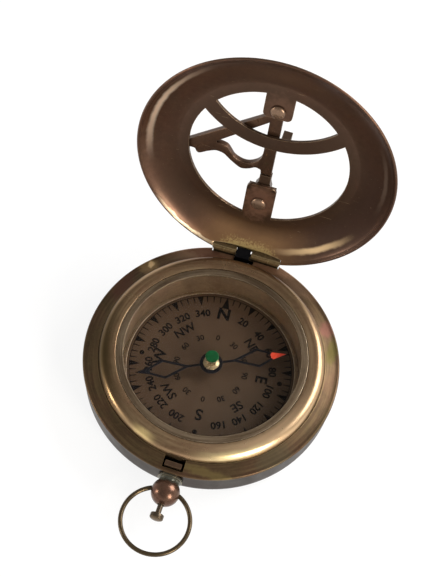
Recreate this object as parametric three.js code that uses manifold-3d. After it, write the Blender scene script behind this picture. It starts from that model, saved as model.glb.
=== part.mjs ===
import * as THREE from 'three';
import { mergeVertices } from 'three/addons/utils/BufferGeometryUtils.js';
import Module from 'manifold-3d';

const wasm = await Module();
wasm.setup();

// Sundial compass: a round case with a floating needle, and a pierced lid that carries a folding gnomon.
// Millimetres, +Z up. The origin is the centre of the flat case back; the hinge is at +Y, the pendant at -Y.

// Fits shared by all pieces, and the small turn by which the fittings in front are off the middle line
const gap = 0.3;
const slipFit = 0.15;
const overrun = 2;
const frontTurn = THREE.MathUtils.degToRad(-1.1);

// Facets
const roundSteps = 60;
const smallRoundSteps = 20;
const tinyRoundSteps = 8;
const arcSteps = 5;
const bezelInnerSteps = 3;
const lidCurveSteps = 7;
const ballSteps = 9;

// Case
const caseRimHeight = 13;
const caseWallRadius = 37;
const caseWall = 1;
const caseBottomRound = 5;
const caseFloor = 1;

// Flange that closes the space between the case wall and the compass bowl
const flangeThickness = 1.2;
const flangeBeadRadius = 0.6;
const flangeOverhang = 0.45;
const flangeFlatWidth = 1.05;
const flangeRise = 0.9;
const slotWidth = 6.1;
const liftSlotMiddle = -0.3;
const latchSlotWall = 0.7;

// Bezel and glass
const bezelOverhang = 1.9;
const bezelLandWidth = 3;
const bezelDepth = 1;
const bezelFootHeight = 0.95;
const bezelCrestHeight = 3.5;
const bezelCrestInset = 0.8;
const bezelInnerHeight = 3.3;
const glassRingLip = 0.3;
const glassRingHeight = 3.2;
const glassRingThickness = 0.7;
const glassThickness = 0.8;

// Compass bowl and dial
const bowlClearance = 6;
const bowlWall = 4.9;
const bowlLedgeWidth = 2.1;
const bowlFloor = 1;
const dialDepth = 7;
const dialThickness = 0.8;
const dialRingWidth = 1.1;
const dialRingHeight = 0.5;

// Needle and its pivot
const needleThickness = 0.25;
const needleRise = 3.1;
const needleLineWidth = 0.7;
const needleLengthShare = 0.8632;
// Places along and across the needle, as shares of its half length
const needleShares = {
  diamondStart: 0.3125, diamondWide: 0.625, diamondEnd: 0.84375, diamondAcross: 0.1384,
  insideStart: 0.3571, insideAcross: 0.1049, arrowStart: 0.8214, arrowAcross: 0.0491,
};
const needleAngle = THREE.MathUtils.degToRad(25.9);
const hubRadius = 3.4;
const hubThickness = 0.3;
const capFootRadius = 2.4;
const capFootHeight = 0.6;
const capNeckRadius = 1.4;
const capTopRadius = 2;
const capHeight = 4.6;
const capFlareHeight = 1.4;
const capBoreRadius = 0.9;
const capRoof = 0.7;
const jewelThickness = 0.35;
const pivotBaseRadius = 1.3;
const pivotBaseHeight = 0.4;
const pivotPinRadius = 0.4;
const pivotPointLength = 1.4;

// Hinge
const hingeInset = 0.8;
const hingeAxisRise = 0.93;
const hingeBarrelRadius = 1.1;
const hingePinRadius = 0.45;
const hingeLength = 20.4;
const hingeKnuckleLength = 3.25;
const hingeMiddleWidth = 6.7;
const lidOpenAngle = THREE.MathUtils.degToRad(103.2);

// Lid, drawn shut
const lidOverhang = 0.85;
const lidLipWidth = 0.9;
const lidRimWidth = 11.35;
const lidCurveShare = 1.33;
const lidFaceWidth = 2.97;
const lidFaceHeight = 4.85;
const lidThickness = 0.9;
const lidHingeNotchMargin = 0.4;
const topTabWidth = 8.9;
const lowTabWidth = 8.4;
const tabCornerRadius = 1.6;
// What stays in the window, as shares of its radius
const windowShares = {
  topTabEnd: 0.4681, lowTabEnd: -0.6426, bandUpperSweep: 1.2213, bandUpperCentre: -1.3745,
  bandLowerSweep: 1.0043, bandLowerCentre: -1.3404, gnomonOut: 1.166,
};

// Gnomon, drawn folded flat on the lid
const gnomonThickness = 1.8;
const gnomonBarWidth = 3.2;
const gnomonBarRight = 1.7;
const gnomonBarSetback = 3.5;
const gnomonFootSetback = 0.2;
const gnomonLift = 0.55;
const gnomonStyleSetback = 1.1;
const gnomonStyleAngle = THREE.MathUtils.degToRad(52);
const gnomonStyleWidth = 2.4;
const gnomonStyleWidthAtTip = 3.3;
const trunnionRadius = 0.45;
const trunnionLength = 0.7;
// Outline of the S-shaped strut, as shares of the reach: distance from the noon line, place along it
const strutTopShares = [
  [0.062, 0.229], [0.117, 0.215], [0.172, 0.247], [0.223, 0.27], [0.274, 0.277], [0.328, 0.252],
  [0.405, 0.201], [0.471, 0.15], [0.522, 0.135], [0.573, 0.135], [0.653, 0.175], [0.73, 0.226],
  [0.768, 0.222], [0.796, 0.182], [0.861, 0.182],
];
const strutTipShare = 0.182;
const strutInnerShares = [
  [0.069, -0.033], [0.08, 0.06], [0.117, 0.124], [0.18, 0.172], [0.237, 0.19], [0.299, 0.182],
  [0.365, 0.15], [0.405, 0.099], [0.456, 0.04], [0.53, 0.02], [0.575, 0.022],
];
const voidRightShare = 0.069;

// Brackets that carry the gnomon
const bracketBaseThickness = 1.2;
const bracketEarHeight = 2.3;
const topBracketWidth = 8.2;
const topBracketSetback = 1.2;
const topBracketLength = 9.2;
const topBracketFlareLength = 1.7;
const topBracketFlareWidth = 4.9;
const lowBracketWidth = 7.6;
const bracketNeckMargin = 0.2;
const topRivetSetback = 5.7;
const lowRivetSetback = 2.4;
const lowBracketMargin = 3.7;
const rivetDomeRadius = 2.2;
const rivetDomeHeight = 0.9;
const rivetShankRadius = 0.9;
const stopBlockLeft = 2.3;
const stopBlockWidth = 2.6;
const stopBlockSetback = 0.7;
const stopBlockLength = 3.3;
const stopBlockHeight = 4;

// Pendant, push button and bail ring
const pendantAxisDepth = 5;
const pendantCollarRadius = 3.6;
const pendantCollarLength = 0.6;
const pendantNeckRadius = 2.9;
const ballRadius = 4.1;
const ballReach = 4.5;
const stemRadius = 0.8;
const buttonRadius = 1.95;
const buttonReach = 6.8;
const buttonThickness = 1.8;
const buttonEdge = 0.7;
const ringMeanRadius = 9.65;
const ringWireRadius = 0.65;
const ringPegRadius = 0.65;
const ringPegDepth = 1.5;
const ringSides = 8;
const ringSteps = 40;

// Latch spring and lift spring, two curved leaves under the flange
const leafInset = 2.5;
const leafThickness = 0.6;
const leafBottom = 6.3;
const leafHeight = 3.6;
const leafRootAngle = THREE.MathUtils.degToRad(25);
const leafTailAngle = THREE.MathUtils.degToRad(5);
const leafTipAngle = THREE.MathUtils.degToRad(3);
const latchTongueWidth = 4.8;
const latchNoseRise = 0.3;
const latchNoseThickness = 0.8;
const liftTongueWidth = 4.2;
const liftTongueMiddle = -0.95;
const liftTongueLength = 3.4;
const liftTongueRise = 1.68;
const liftTongueThickness = 0.4;
const leafScrewShankRadius = 0.6;
const leafScrewHeadRadius = 1.3;
const leafScrewHeadThickness = 0.6;

// Places that follow from the sizes above
const flangeBottom = caseRimHeight - flangeThickness;
const latchSlotReach = caseWallRadius - latchSlotWall;
const bowlOuterRadius = caseWallRadius - bowlClearance;
const bowlBoreRadius = bowlOuterRadius - bowlWall;
const bezelOuterRadius = bowlOuterRadius + bezelOverhang;
const bezelInnerRadius = bowlOuterRadius - bezelLandWidth;
const bezelCrestRadius = bowlOuterRadius - bezelCrestInset;
const flangeInnerRadius = bezelOuterRadius + slipFit;
const glassRingInnerRadius = bowlBoreRadius - glassRingLip;
const dialRadius = bowlBoreRadius - slipFit;
const bezelBottom = caseRimHeight - bezelDepth;
const glassRingTop = caseRimHeight + glassRingHeight;
const glassTop = glassRingTop - glassRingThickness;
const glassBottom = glassTop - glassThickness;
const dialTop = caseRimHeight - dialDepth;
const dialBottom = dialTop - dialThickness;
const needleHalfLength = dialRadius * needleLengthShare;
const needleBottom = dialTop + needleRise;
const needleTop = needleBottom + needleThickness;
const hubTop = needleTop + hubThickness;
const capTop = hubTop + capHeight;
const hingeAxisY = caseWallRadius - hingeInset;
const hingeAxisZ = caseRimHeight + hingeAxisRise;
const lidLipRadius = caseWallRadius + lidOverhang;
const lidFaceRadius = lidLipRadius - lidRimWidth;
const windowRadius = lidFaceRadius - lidFaceWidth;
const lidLipBottom = caseRimHeight + gap;
const lidInnerFace = caseRimHeight + lidFaceHeight;
const lidOuterFace = lidInnerFace + lidThickness;
const topTabEndY = windowRadius * windowShares.topTabEnd;
const lowTabEndY = windowRadius * windowShares.lowTabEnd;
const bandUpperRadius = windowRadius * windowShares.bandUpperSweep;
const bandUpperCentreY = windowRadius * windowShares.bandUpperCentre;
const bandLowerRadius = windowRadius * windowShares.bandLowerSweep;
const bandLowerCentreY = windowRadius * windowShares.bandLowerCentre;
const gnomonReach = windowRadius * windowShares.gnomonOut;
const gnomonBarTopY = topTabEndY - gnomonBarSetback;
const gnomonFootY = lowTabEndY - gnomonFootSetback;
const gnomonStyleFootY = gnomonFootY - gnomonStyleSetback;
const topBracketNeckY = topTabEndY + topBracketSetback;
const topBracketFlareY = topBracketNeckY - topBracketFlareLength;
const topBracketEndY = topBracketNeckY + topBracketLength;
const topRivetY = topBracketNeckY + topRivetSetback;
const lowRivetY = gnomonFootY - lowRivetSetback;
const lowBracketEndY = lowRivetY - lowBracketMargin;
const stopBlockTopY = bandUpperCentreY + bandUpperRadius - stopBlockSetback;
const gnomonAxisX = gnomonBarRight - gnomonThickness / 2;
const gnomonAxisZ = lidOuterFace + gnomonLift + gnomonThickness / 2;
const pendantAxisZ = caseRimHeight - pendantAxisDepth;
const stemBoreRadius = stemRadius + gap;
const ballCentreY = -caseWallRadius - ballReach;
const buttonInnerY = ballCentreY - buttonReach;
const leafInnerRadius = caseWallRadius - leafInset;
const leafOuterRadius = leafInnerRadius + leafThickness;
const latchNoseReach = latchSlotReach - gap;
const liftTongueEndY = caseWallRadius + gap;
const liftTongueStartY = liftTongueEndY - liftTongueLength;
const ringCentreReach = Math.sqrt(ringMeanRadius ** 2 - ballRadius ** 2);

// Materials
const metal = (color, roughness) => new THREE.MeshStandardMaterial({ color, roughness, metalness: 1 });
const brass = metal(0x8a6a3c, 0.38);
const darkBrass = metal(0x5f4327, 0.42);
const brightBrass = metal(0xb08a4e, 0.3);
const blackSteel = metal(0x1c1b1d, 0.4);
const etchedBrass = metal(0x6d5a45, 0.6);
const greenJewel = new THREE.MeshStandardMaterial({ color: 0x3f6d4c, roughness: 0.3, metalness: 0 });
const clearGlass = new THREE.MeshStandardMaterial({
  color: 0xf4f7f4, roughness: 0.05, metalness: 0, transparent: true, opacity: 0.2,
});

const root = new THREE.Group();

function place(parent, name, geometry, material) {
  const mesh = new THREE.Mesh(geometry, material);
  mesh.name = name;
  parent.add(mesh);
  return mesh;
}

// Closed mesh to solid, dropping the empty triangles that a turned shape has on its axis
function solidOf(geometry) {
  const bare = geometry.clone();
  bare.deleteAttribute('normal');
  bare.deleteAttribute('uv');
  const merged = mergeVertices(bare);
  const corners = merged.index.array;
  const kept = [];
  for (let i = 0; i < corners.length; i += 3) {
    const [a, b, c] = [corners[i], corners[i + 1], corners[i + 2]];
    if (a !== b && b !== c && c !== a) kept.push(a, b, c);
  }
  return new wasm.Manifold(new wasm.Mesh({
    numProp: 3,
    vertProperties: new Float32Array(merged.attributes.position.array),
    triVerts: new Uint32Array(kept),
  }));
}

function geometryOf(solid) {
  const mesh = solid.getMesh();
  const geometry = new THREE.BufferGeometry();
  geometry.setAttribute('position', new THREE.BufferAttribute(mesh.vertProperties, 3));
  geometry.setIndex(new THREE.BufferAttribute(mesh.triVerts, 1));
  return geometry;
}

function joined(...geometries) {
  return geometryOf(geometries.map(solidOf).reduce((sum, next) => sum.add(next)));
}

function cut(geometry, ...tools) {
  return geometryOf(tools.map(solidOf).reduce((rest, tool) => rest.subtract(tool), solidOf(geometry)));
}

// Turned about Z from radius and height pairs, outer side going up
function turned(profile, steps = roundSteps) {
  const points = profile.map(([radius, height]) => new THREE.Vector2(radius, height));
  return new THREE.LatheGeometry(points, steps).rotateX(Math.PI / 2);
}

function closedProfile(profile) {
  return [...profile, profile[0]];
}

// Points of an elliptic arc in radius and height
function arc(centreRadius, centreHeight, halfWidth, halfHeight, from, to, steps = arcSteps) {
  const points = [];
  for (let i = 0; i <= steps; i += 1) {
    const angle = from + (to - from) * i / steps;
    points.push([centreRadius + halfWidth * Math.cos(angle), centreHeight + halfHeight * Math.sin(angle)]);
  }
  return points;
}

function disc(radius, bottom, top, steps = roundSteps) {
  return turned([[0, bottom], [radius, bottom], [radius, top], [0, top]], steps);
}

function tube(innerRadius, outerRadius, bottom, top, steps = roundSteps) {
  const profile = [[innerRadius, bottom], [outerRadius, bottom], [outerRadius, top], [innerRadius, top]];
  return turned(closedProfile(profile), steps);
}

function box(left, right, front, back, bottom, top) {
  const geometry = new THREE.BoxGeometry(right - left, back - front, top - bottom);
  return geometry.translate((left + right) / 2, (front + back) / 2, (bottom + top) / 2);
}

function plate(shape, bottom, top) {
  const options = { depth: top - bottom, bevelEnabled: false, curveSegments: arcSteps };
  return new THREE.ExtrudeGeometry(shape, options).translate(0, 0, bottom);
}

const alongX = (geometry) => geometry.rotateY(Math.PI / 2);
const alongMinusY = (geometry) => geometry.rotateX(Math.PI / 2);

// Cup of the case, with a hole in front for the stem of the push button
function caseCup() {
  const bottomRadius = caseWallRadius - caseBottomRound;
  const innerRadius = caseWallRadius - caseWall;
  const innerRound = caseBottomRound - caseFloor;
  const outside = arc(bottomRadius, caseBottomRound, caseBottomRound, caseBottomRound, -Math.PI / 2, 0);
  const inside = arc(bottomRadius, caseBottomRound, innerRound, innerRound, 0, -Math.PI / 2);
  const wallTop = [[caseWallRadius, flangeBottom], [innerRadius, flangeBottom]];
  const cup = turned([[0, 0], ...outside, ...wallTop, ...inside, [0, caseFloor]]);
  const hole = disc(stemBoreRadius, innerRadius - overrun, caseWallRadius + overrun, tinyRoundSteps);
  return cut(cup, alongMinusY(hole).translate(0, 0, pendantAxisZ).rotateZ(frontTurn));
}

// Flange with a rounded bead, slots for the two springs and a seat for the hinge
function rimFlange() {
  const beadCentre = caseWallRadius + flangeOverhang - flangeBeadRadius;
  const beadHeight = caseRimHeight - flangeBeadRadius;
  const flatRadius = beadCentre - flangeFlatWidth;
  const ring = turned(closedProfile([
    [flatRadius, flangeBottom], [beadCentre, flangeBottom],
    ...arc(beadCentre, beadHeight, flangeBeadRadius, flangeBeadRadius, -Math.PI / 2, Math.PI / 2),
    [flatRadius, caseRimHeight], [flangeInnerRadius, caseRimHeight + flangeRise],
    [flangeInnerRadius, flangeBottom + flangeRise],
  ]));
  const cutTop = caseRimHeight + flangeRise + overrun;
  const cutBottom = flangeBottom - overrun;
  const slotHalf = slotWidth / 2;
  const inner = flangeInnerRadius - overrun;
  const latchSlot = box(-slotHalf, slotHalf, -latchSlotReach, -inner, cutBottom, cutTop);
  const outer = caseWallRadius + overrun;
  const liftSlot = box(-slotHalf, slotHalf, inner, outer, cutBottom, cutTop).translate(liftSlotMiddle, 0, 0);
  const seatHalf = hingeLength / 2 + gap;
  const seatFront = hingeAxisY - hingeBarrelRadius - gap;
  const hingeSeat = box(-seatHalf, seatHalf, seatFront, outer, cutBottom, cutTop);
  return cut(ring, latchSlot.rotateZ(frontTurn), liftSlot, hingeSeat);
}

// Bowl of the compass, with a ledge for the dial and a land for the glass
function compassBowl() {
  const ledgeRadius = bowlBoreRadius - bowlLedgeWidth;
  const collarRadius = bezelInnerRadius - slipFit;
  return turned([
    [0, caseFloor], [bowlOuterRadius, caseFloor], [bowlOuterRadius, bezelBottom], [collarRadius, bezelBottom],
    [collarRadius, glassBottom], [bowlBoreRadius, glassBottom], [bowlBoreRadius, dialBottom],
    [ledgeRadius, dialBottom], [ledgeRadius, caseFloor + bowlFloor], [0, caseFloor + bowlFloor],
  ]);
}

// Convex ring round the glass: steep outside, nearly flat inside
function bezel() {
  const footHeight = caseRimHeight + bezelFootHeight;
  const rise = bezelCrestHeight - bezelFootHeight;
  const innerRise = bezelInnerHeight - bezelFootHeight;
  const innerRun = bezelCrestRadius - bezelInnerRadius;
  const innerHalfWidth = innerRun / Math.sqrt(1 - (innerRise / rise) ** 2);
  const innerEnd = Math.acos(-innerRun / innerHalfWidth);
  const top = Math.PI / 2;
  const outer = arc(bezelCrestRadius, footHeight, bezelOuterRadius - bezelCrestRadius, rise, 0, top);
  const inner = arc(bezelCrestRadius, footHeight, innerHalfWidth, rise, top, innerEnd, bezelInnerSteps);
  return turned(closedProfile([
    [bezelInnerRadius, bezelBottom], [bezelOuterRadius, bezelBottom], ...outer, ...inner.slice(1),
  ]));
}

function buildCase() {
  place(root, 'case_cup', caseCup(), brass);
  place(root, 'rim_flange', rimFlange(), darkBrass);
  place(root, 'compass_bowl', compassBowl(), darkBrass);
  place(root, 'bezel', bezel(), brightBrass);
  const ringOuter = bezelInnerRadius - slipFit;
  place(root, 'glass_ring', tube(glassRingInnerRadius, ringOuter, glassTop, glassRingTop), brass);
  place(root, 'glass', disc(ringOuter, glassBottom, glassTop), clearGlass);
  place(root, 'dial_plate', disc(dialRadius, dialBottom, dialTop), etchedBrass);
  const ring = tube(dialRadius - dialRingWidth, dialRadius, dialTop, dialTop + dialRingHeight);
  place(root, 'dial_ring', ring, brass);
}

// One half of the needle: a line that opens into a diamond and ends in a point
function needleHalf(shape, side) {
  const half = needleLineWidth / 2;
  const reach = side * needleHalfLength;
  const { diamondStart, diamondWide, diamondAcross, arrowStart, arrowAcross } = needleShares;
  shape.lineTo(reach * diamondStart, -side * half);
  shape.lineTo(reach * diamondWide, -reach * diamondAcross);
  shape.lineTo(reach * arrowStart, -reach * arrowAcross);
  shape.lineTo(reach, 0);
  shape.lineTo(reach * arrowStart, reach * arrowAcross);
  shape.lineTo(reach * diamondWide, reach * diamondAcross);
  shape.lineTo(reach * diamondStart, side * half);
}

function diamondHole(side) {
  const hole = new THREE.Path();
  const reach = side * needleHalfLength;
  const half = needleHalfLength * needleShares.insideAcross;
  hole.moveTo(reach * needleShares.insideStart, 0);
  hole.lineTo(reach * needleShares.diamondWide, half);
  hole.lineTo(reach * needleShares.diamondEnd - side * needleLineWidth, 0);
  hole.lineTo(reach * needleShares.diamondWide, -half);
  hole.closePath();
  return hole;
}

function needleBlade() {
  const shape = new THREE.Shape();
  const half = needleLineWidth / 2;
  shape.moveTo(half, -half);
  needleHalf(shape, 1);
  needleHalf(shape, -1);
  shape.closePath();
  shape.holes.push(diamondHole(1), diamondHole(-1));
  const eye = disc(capBoreRadius, needleBottom - overrun, needleTop + overrun, tinyRoundSteps);
  const boss = disc(capFootRadius, needleBottom, needleTop, smallRoundSteps);
  return cut(joined(plate(shape, needleBottom, needleTop), boss), eye);
}

// Tall hollow cap whose roof rides on the point of the pin
function needleCap() {
  const jewelSeat = capTop - jewelThickness;
  return turned([
    [0, jewelSeat - capRoof], [capBoreRadius, jewelSeat - capRoof], [capBoreRadius, hubTop],
    [capFootRadius, hubTop], [capFootRadius, hubTop + capFootHeight / 2],
    [capNeckRadius, hubTop + capFootHeight], [capNeckRadius, capTop - capFlareHeight],
    [capTopRadius, capTop - capFlareHeight / 2], [capTopRadius, jewelSeat], [0, jewelSeat],
  ], smallRoundSteps);
}

function pivotPin() {
  const pointTop = capTop - jewelThickness - capRoof - gap;
  return turned([
    [0, dialTop], [pivotBaseRadius, dialTop], [pivotBaseRadius, dialTop + pivotBaseHeight],
    [pivotPinRadius, dialTop + pivotBaseHeight], [pivotPinRadius, pointTop - pivotPointLength], [0, pointTop],
  ], tinyRoundSteps);
}

function buildNeedle() {
  place(root, 'pivot_pin', pivotPin(), brightBrass);
  const needle = new THREE.Group();
  needle.rotation.z = needleAngle;
  root.add(needle);
  place(needle, 'needle_blade', needleBlade(), blackSteel);
  place(root, 'needle_hub', tube(capBoreRadius, hubRadius, needleTop, hubTop, smallRoundSteps), blackSteel);
  place(root, 'needle_cap', needleCap(), brightBrass);
  place(root, 'cap_jewel', disc(capTopRadius, capTop - jewelThickness, capTop, smallRoundSteps), greenJewel);
}

function barrel(left, right) {
  const bore = hingePinRadius + gap;
  return alongX(tube(bore, hingeBarrelRadius, left, right, smallRoundSteps));
}

// Knuckle that stands on the case wall behind the flange
function caseKnuckle(left, right) {
  const footFront = caseWallRadius - caseWall + slipFit;
  const foot = box(left, right, footFront, caseWallRadius, flangeBottom, hingeAxisZ);
  const knuckle = barrel(left, right).translate(0, hingeAxisY, hingeAxisZ);
  const bore = alongX(disc(hingePinRadius + gap, left - overrun, right + overrun, smallRoundSteps));
  return cut(joined(knuckle, foot), bore.translate(0, hingeAxisY, hingeAxisZ));
}

function buildHinge(lid) {
  const end = hingeLength / 2;
  const inner = hingeMiddleWidth / 2;
  place(root, 'case_knuckle_left', caseKnuckle(-end, -end + hingeKnuckleLength), brass);
  place(root, 'case_knuckle_right', caseKnuckle(end - hingeKnuckleLength, end), brass);
  const pin = alongX(disc(hingePinRadius, -end, end, tinyRoundSteps));
  place(root, 'hinge_pin', pin.translate(0, hingeAxisY, hingeAxisZ), blackSteel);
  const lidBarrel = (left, right) => barrel(left, right).translate(0, hingeAxisY, hingeAxisZ);
  place(lid, 'lid_knuckle_left', lidBarrel(-end + hingeKnuckleLength + gap, -inner), brass);
  place(lid, 'lid_knuckle_right', lidBarrel(inner, end - hingeKnuckleLength - gap), brass);
}

// Tab that reaches into the window, with rounded corners at its free end
function tab(width, endY, rootY) {
  const half = width / 2;
  const side = Math.sign(rootY - endY);
  const round = tabCornerRadius;
  const shape = new THREE.Shape();
  shape.moveTo(-half, rootY);
  shape.lineTo(-half, endY + side * round);
  shape.quadraticCurveTo(-half, endY, -half + round, endY);
  shape.lineTo(half - round, endY);
  shape.quadraticCurveTo(half, endY, half, endY + side * round);
  shape.lineTo(half, rootY);
  shape.closePath();
  return plate(shape, lidInnerFace - overrun, lidOuterFace + overrun);
}

// Round window less what stays in it: two tabs and the curved band
function windowTool() {
  const bottom = lidInnerFace - overrun;
  const top = lidOuterFace + overrun;
  const band = cut(
    disc(bandUpperRadius, bottom, top).translate(0, bandUpperCentreY, 0),
    disc(bandLowerRadius, bottom - overrun, top + overrun).translate(0, bandLowerCentreY, 0),
  );
  const topTab = tab(topTabWidth, topTabEndY, windowRadius + overrun);
  const lowTab = tab(lowTabWidth, lowTabEndY, -windowRadius - overrun);
  return cut(disc(windowRadius, bottom, top), band, topTab, lowTab);
}

// Slope of the lid from its lip to its flat face, rounded at both ends
function lidCurve(halfWidth, halfHeight) {
  const outline = arc(0, 0, 1, 1, 0, Math.PI / 2, lidCurveSteps);
  return outline.map(([out, up]) => [
    lidFaceRadius + halfWidth * Math.max(out, 0) ** lidCurveShare,
    lidLipBottom + halfHeight * up ** lidCurveShare,
  ]);
}

// Pressed lid: flat face, sloping rim, pierced window, notch for the hinge
function lidShell() {
  const innerHalf = lidLipRadius - lidLipWidth - lidFaceRadius;
  const outerHalf = lidLipRadius - lidFaceRadius;
  const rise = lidInnerFace - lidLipBottom;
  const inside = lidCurve(innerHalf, rise).reverse();
  const outside = lidCurve(outerHalf, rise + lidThickness);
  const shell = turned([[0, lidInnerFace], ...inside, ...outside, [0, lidOuterFace]]);
  const notchTop = hingeAxisZ + hingeBarrelRadius + gap;
  const notchFront = hingeAxisY - hingeBarrelRadius - gap;
  const notchBack = lidLipRadius + overrun;
  const notchHalf = hingeLength / 2 + lidHingeNotchMargin;
  const notch = box(-notchHalf, notchHalf, notchFront, notchBack, lidLipBottom - overrun, notchTop);
  const rivetHole = (y) => disc(
    rivetShankRadius + gap, lidInnerFace - overrun, lidOuterFace + overrun, tinyRoundSteps,
  ).translate(0, y, 0);
  return cut(shell, windowTool(), notch, rivetHole(topRivetY), rivetHole(lowRivetY));
}

// Triangle with a straight style edge and an S-shaped strut, and a trunnion at each end of its bar
function gnomonPlate() {
  const barLeft = gnomonBarRight - gnomonBarWidth;
  const point = ([out, along]) => new THREE.Vector2(-out * gnomonReach, along * gnomonReach);
  const styleY = (x) => gnomonStyleFootY - x / Math.tan(gnomonStyleAngle);
  const outline = new THREE.Shape();
  outline.moveTo(gnomonBarRight, gnomonFootY);
  outline.lineTo(gnomonBarRight, gnomonBarTopY);
  outline.lineTo(barLeft, gnomonBarTopY);
  strutTopShares.map(point).forEach(({ x, y }) => outline.lineTo(x, y));
  outline.lineTo(-gnomonReach, strutTipShare * gnomonReach);
  const footX = (gnomonStyleFootY - gnomonFootY) * Math.tan(gnomonStyleAngle);
  outline.lineTo(footX, styleY(footX));
  outline.closePath();
  const opening = new THREE.Path();
  const inner = strutInnerShares.map(point);
  opening.moveTo(inner[0].x, inner[0].y);
  inner.slice(1).forEach(({ x, y }) => opening.lineTo(x, y));
  const far = inner[inner.length - 1].x;
  const near = -voidRightShare * gnomonReach;
  opening.lineTo(far, styleY(far) + gnomonStyleWidthAtTip / Math.sin(gnomonStyleAngle));
  opening.lineTo(near, styleY(near) + gnomonStyleWidth / Math.sin(gnomonStyleAngle));
  opening.closePath();
  outline.holes.push(opening);
  const body = plate(outline, gnomonAxisZ - gnomonThickness / 2, gnomonAxisZ + gnomonThickness / 2);
  const bury = gnomonThickness;
  const trunnion = (from, to) => alongMinusY(disc(trunnionRadius, from, to, tinyRoundSteps))
    .translate(gnomonAxisX, 0, gnomonAxisZ);
  return joined(
    body,
    trunnion(-gnomonBarTopY - gap - trunnionLength, -gnomonBarTopY + bury),
    trunnion(-gnomonFootY - bury, -gnomonFootY + gap + trunnionLength),
  );
}

function rivetBore(y) {
  const bottom = lidOuterFace - overrun;
  return disc(rivetShankRadius + gap, bottom, lidOuterFace + bracketEarHeight + overrun, tinyRoundSteps)
    .translate(0, y, 0);
}

function trunnionBore(from, to) {
  return alongMinusY(disc(trunnionRadius + gap, from, to, tinyRoundSteps))
    .translate(gnomonAxisX, 0, gnomonAxisZ);
}

function topBracket() {
  const bottom = lidOuterFace + gap;
  const neckRight = gnomonBarRight + bracketNeckMargin;
  const neckLeft = gnomonBarRight - gnomonBarWidth;
  const neckFront = gnomonBarTopY + gap;
  const half = topBracketWidth / 2;
  const base = box(-half, half, topBracketNeckY, topBracketEndY, bottom, bottom + bracketBaseThickness);
  const shape = new THREE.Shape();
  shape.moveTo(neckLeft, neckFront);
  shape.lineTo(neckRight, neckFront);
  shape.lineTo(neckRight, topBracketFlareY);
  shape.lineTo(topBracketFlareWidth / 2, topBracketNeckY);
  shape.lineTo(topBracketFlareWidth / 2, topBracketNeckY + bracketEarHeight);
  shape.lineTo(-topBracketFlareWidth / 2, topBracketNeckY + bracketEarHeight);
  shape.lineTo(-topBracketFlareWidth / 2, topBracketNeckY);
  shape.lineTo(neckLeft, topBracketFlareY);
  shape.closePath();
  const neck = plate(shape, bottom, bottom + bracketEarHeight);
  const bore = trunnionBore(-neckFront - trunnionLength - gap, -neckFront + overrun);
  return cut(joined(base, neck), bore, rivetBore(topRivetY));
}

function lowBracket() {
  const bottom = lidOuterFace + gap;
  const front = gnomonFootY - gap;
  const half = lowBracketWidth / 2;
  const body = box(-half, half, lowBracketEndY, front, bottom, bottom + bracketEarHeight);
  const bore = trunnionBore(-front - overrun, -front + trunnionLength + gap);
  return cut(body, bore, rivetBore(lowRivetY));
}

function rivet(y, top) {
  const domeTop = lidInnerFace - gap;
  const dome = arc(0, domeTop, rivetDomeRadius, rivetDomeHeight, -Math.PI / 2, 0);
  return turned([
    ...dome, [rivetShankRadius, domeTop], [rivetShankRadius, top], [0, top],
  ], smallRoundSteps).translate(0, y, 0);
}

function stopBlock() {
  const bottom = lidOuterFace + gap;
  return box(
    stopBlockLeft, stopBlockLeft + stopBlockWidth, stopBlockTopY - stopBlockLength, stopBlockTopY,
    bottom, bottom + stopBlockHeight,
  );
}

function buildLid(lid) {
  place(lid, 'lid_shell', lidShell(), darkBrass);
  place(lid, 'top_bracket', topBracket(), brass);
  place(lid, 'low_bracket', lowBracket(), brass);
  const baseTop = lidOuterFace + gap + bracketBaseThickness;
  place(lid, 'top_rivet', rivet(topRivetY, baseTop), brightBrass);
  place(lid, 'low_rivet', rivet(lowRivetY, lidOuterFace + gap + bracketEarHeight), brightBrass);
  place(lid, 'stop_block', stopBlock(), brass);
  place(lid, 'gnomon', gnomonPlate(), brightBrass);
}

// Collar, neck and ball in one turned piece, bored for the stem and drilled for the ring
function pendant() {
  const start = caseWallRadius + slipFit;
  const collarEnd = start + pendantCollarLength;
  const meet = -ballCentreY - Math.sqrt(ballRadius ** 2 - pendantNeckRadius ** 2);
  const from = -Math.acos((-ballCentreY - meet) / ballRadius);
  const boreEnd = Math.acos(stemBoreRadius / ballRadius);
  const ball = arc(0, -ballCentreY, ballRadius, ballRadius, -Math.PI / 2 - from, boreEnd, ballSteps);
  const outline = [
    [stemBoreRadius, start], [pendantCollarRadius, start], [pendantCollarRadius, collarEnd],
    [pendantNeckRadius, collarEnd], ...ball,
  ];
  const body = alongMinusY(turned(closedProfile(outline), smallRoundSteps)).translate(0, 0, pendantAxisZ);
  const pegBore = alongX(disc(
    ringPegRadius + gap, ballRadius - ringPegDepth - gap, ballRadius + overrun, tinyRoundSteps,
  ));
  const otherBore = pegBore.clone().rotateZ(Math.PI);
  return cut(
    body, pegBore.translate(0, ballCentreY, pendantAxisZ), otherBore.translate(0, ballCentreY, pendantAxisZ),
  );
}

function pushButton() {
  const tip = leafOuterRadius + gap;
  const outer = -buttonInnerY + buttonThickness;
  const dome = arc(0, outer - buttonEdge, buttonRadius, buttonEdge, 0, Math.PI / 2);
  return alongMinusY(turned([
    [0, tip], [stemRadius, tip], [stemRadius, -buttonInnerY], [buttonRadius, -buttonInnerY], ...dome,
  ], smallRoundSteps)).translate(0, 0, pendantAxisZ);
}

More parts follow.
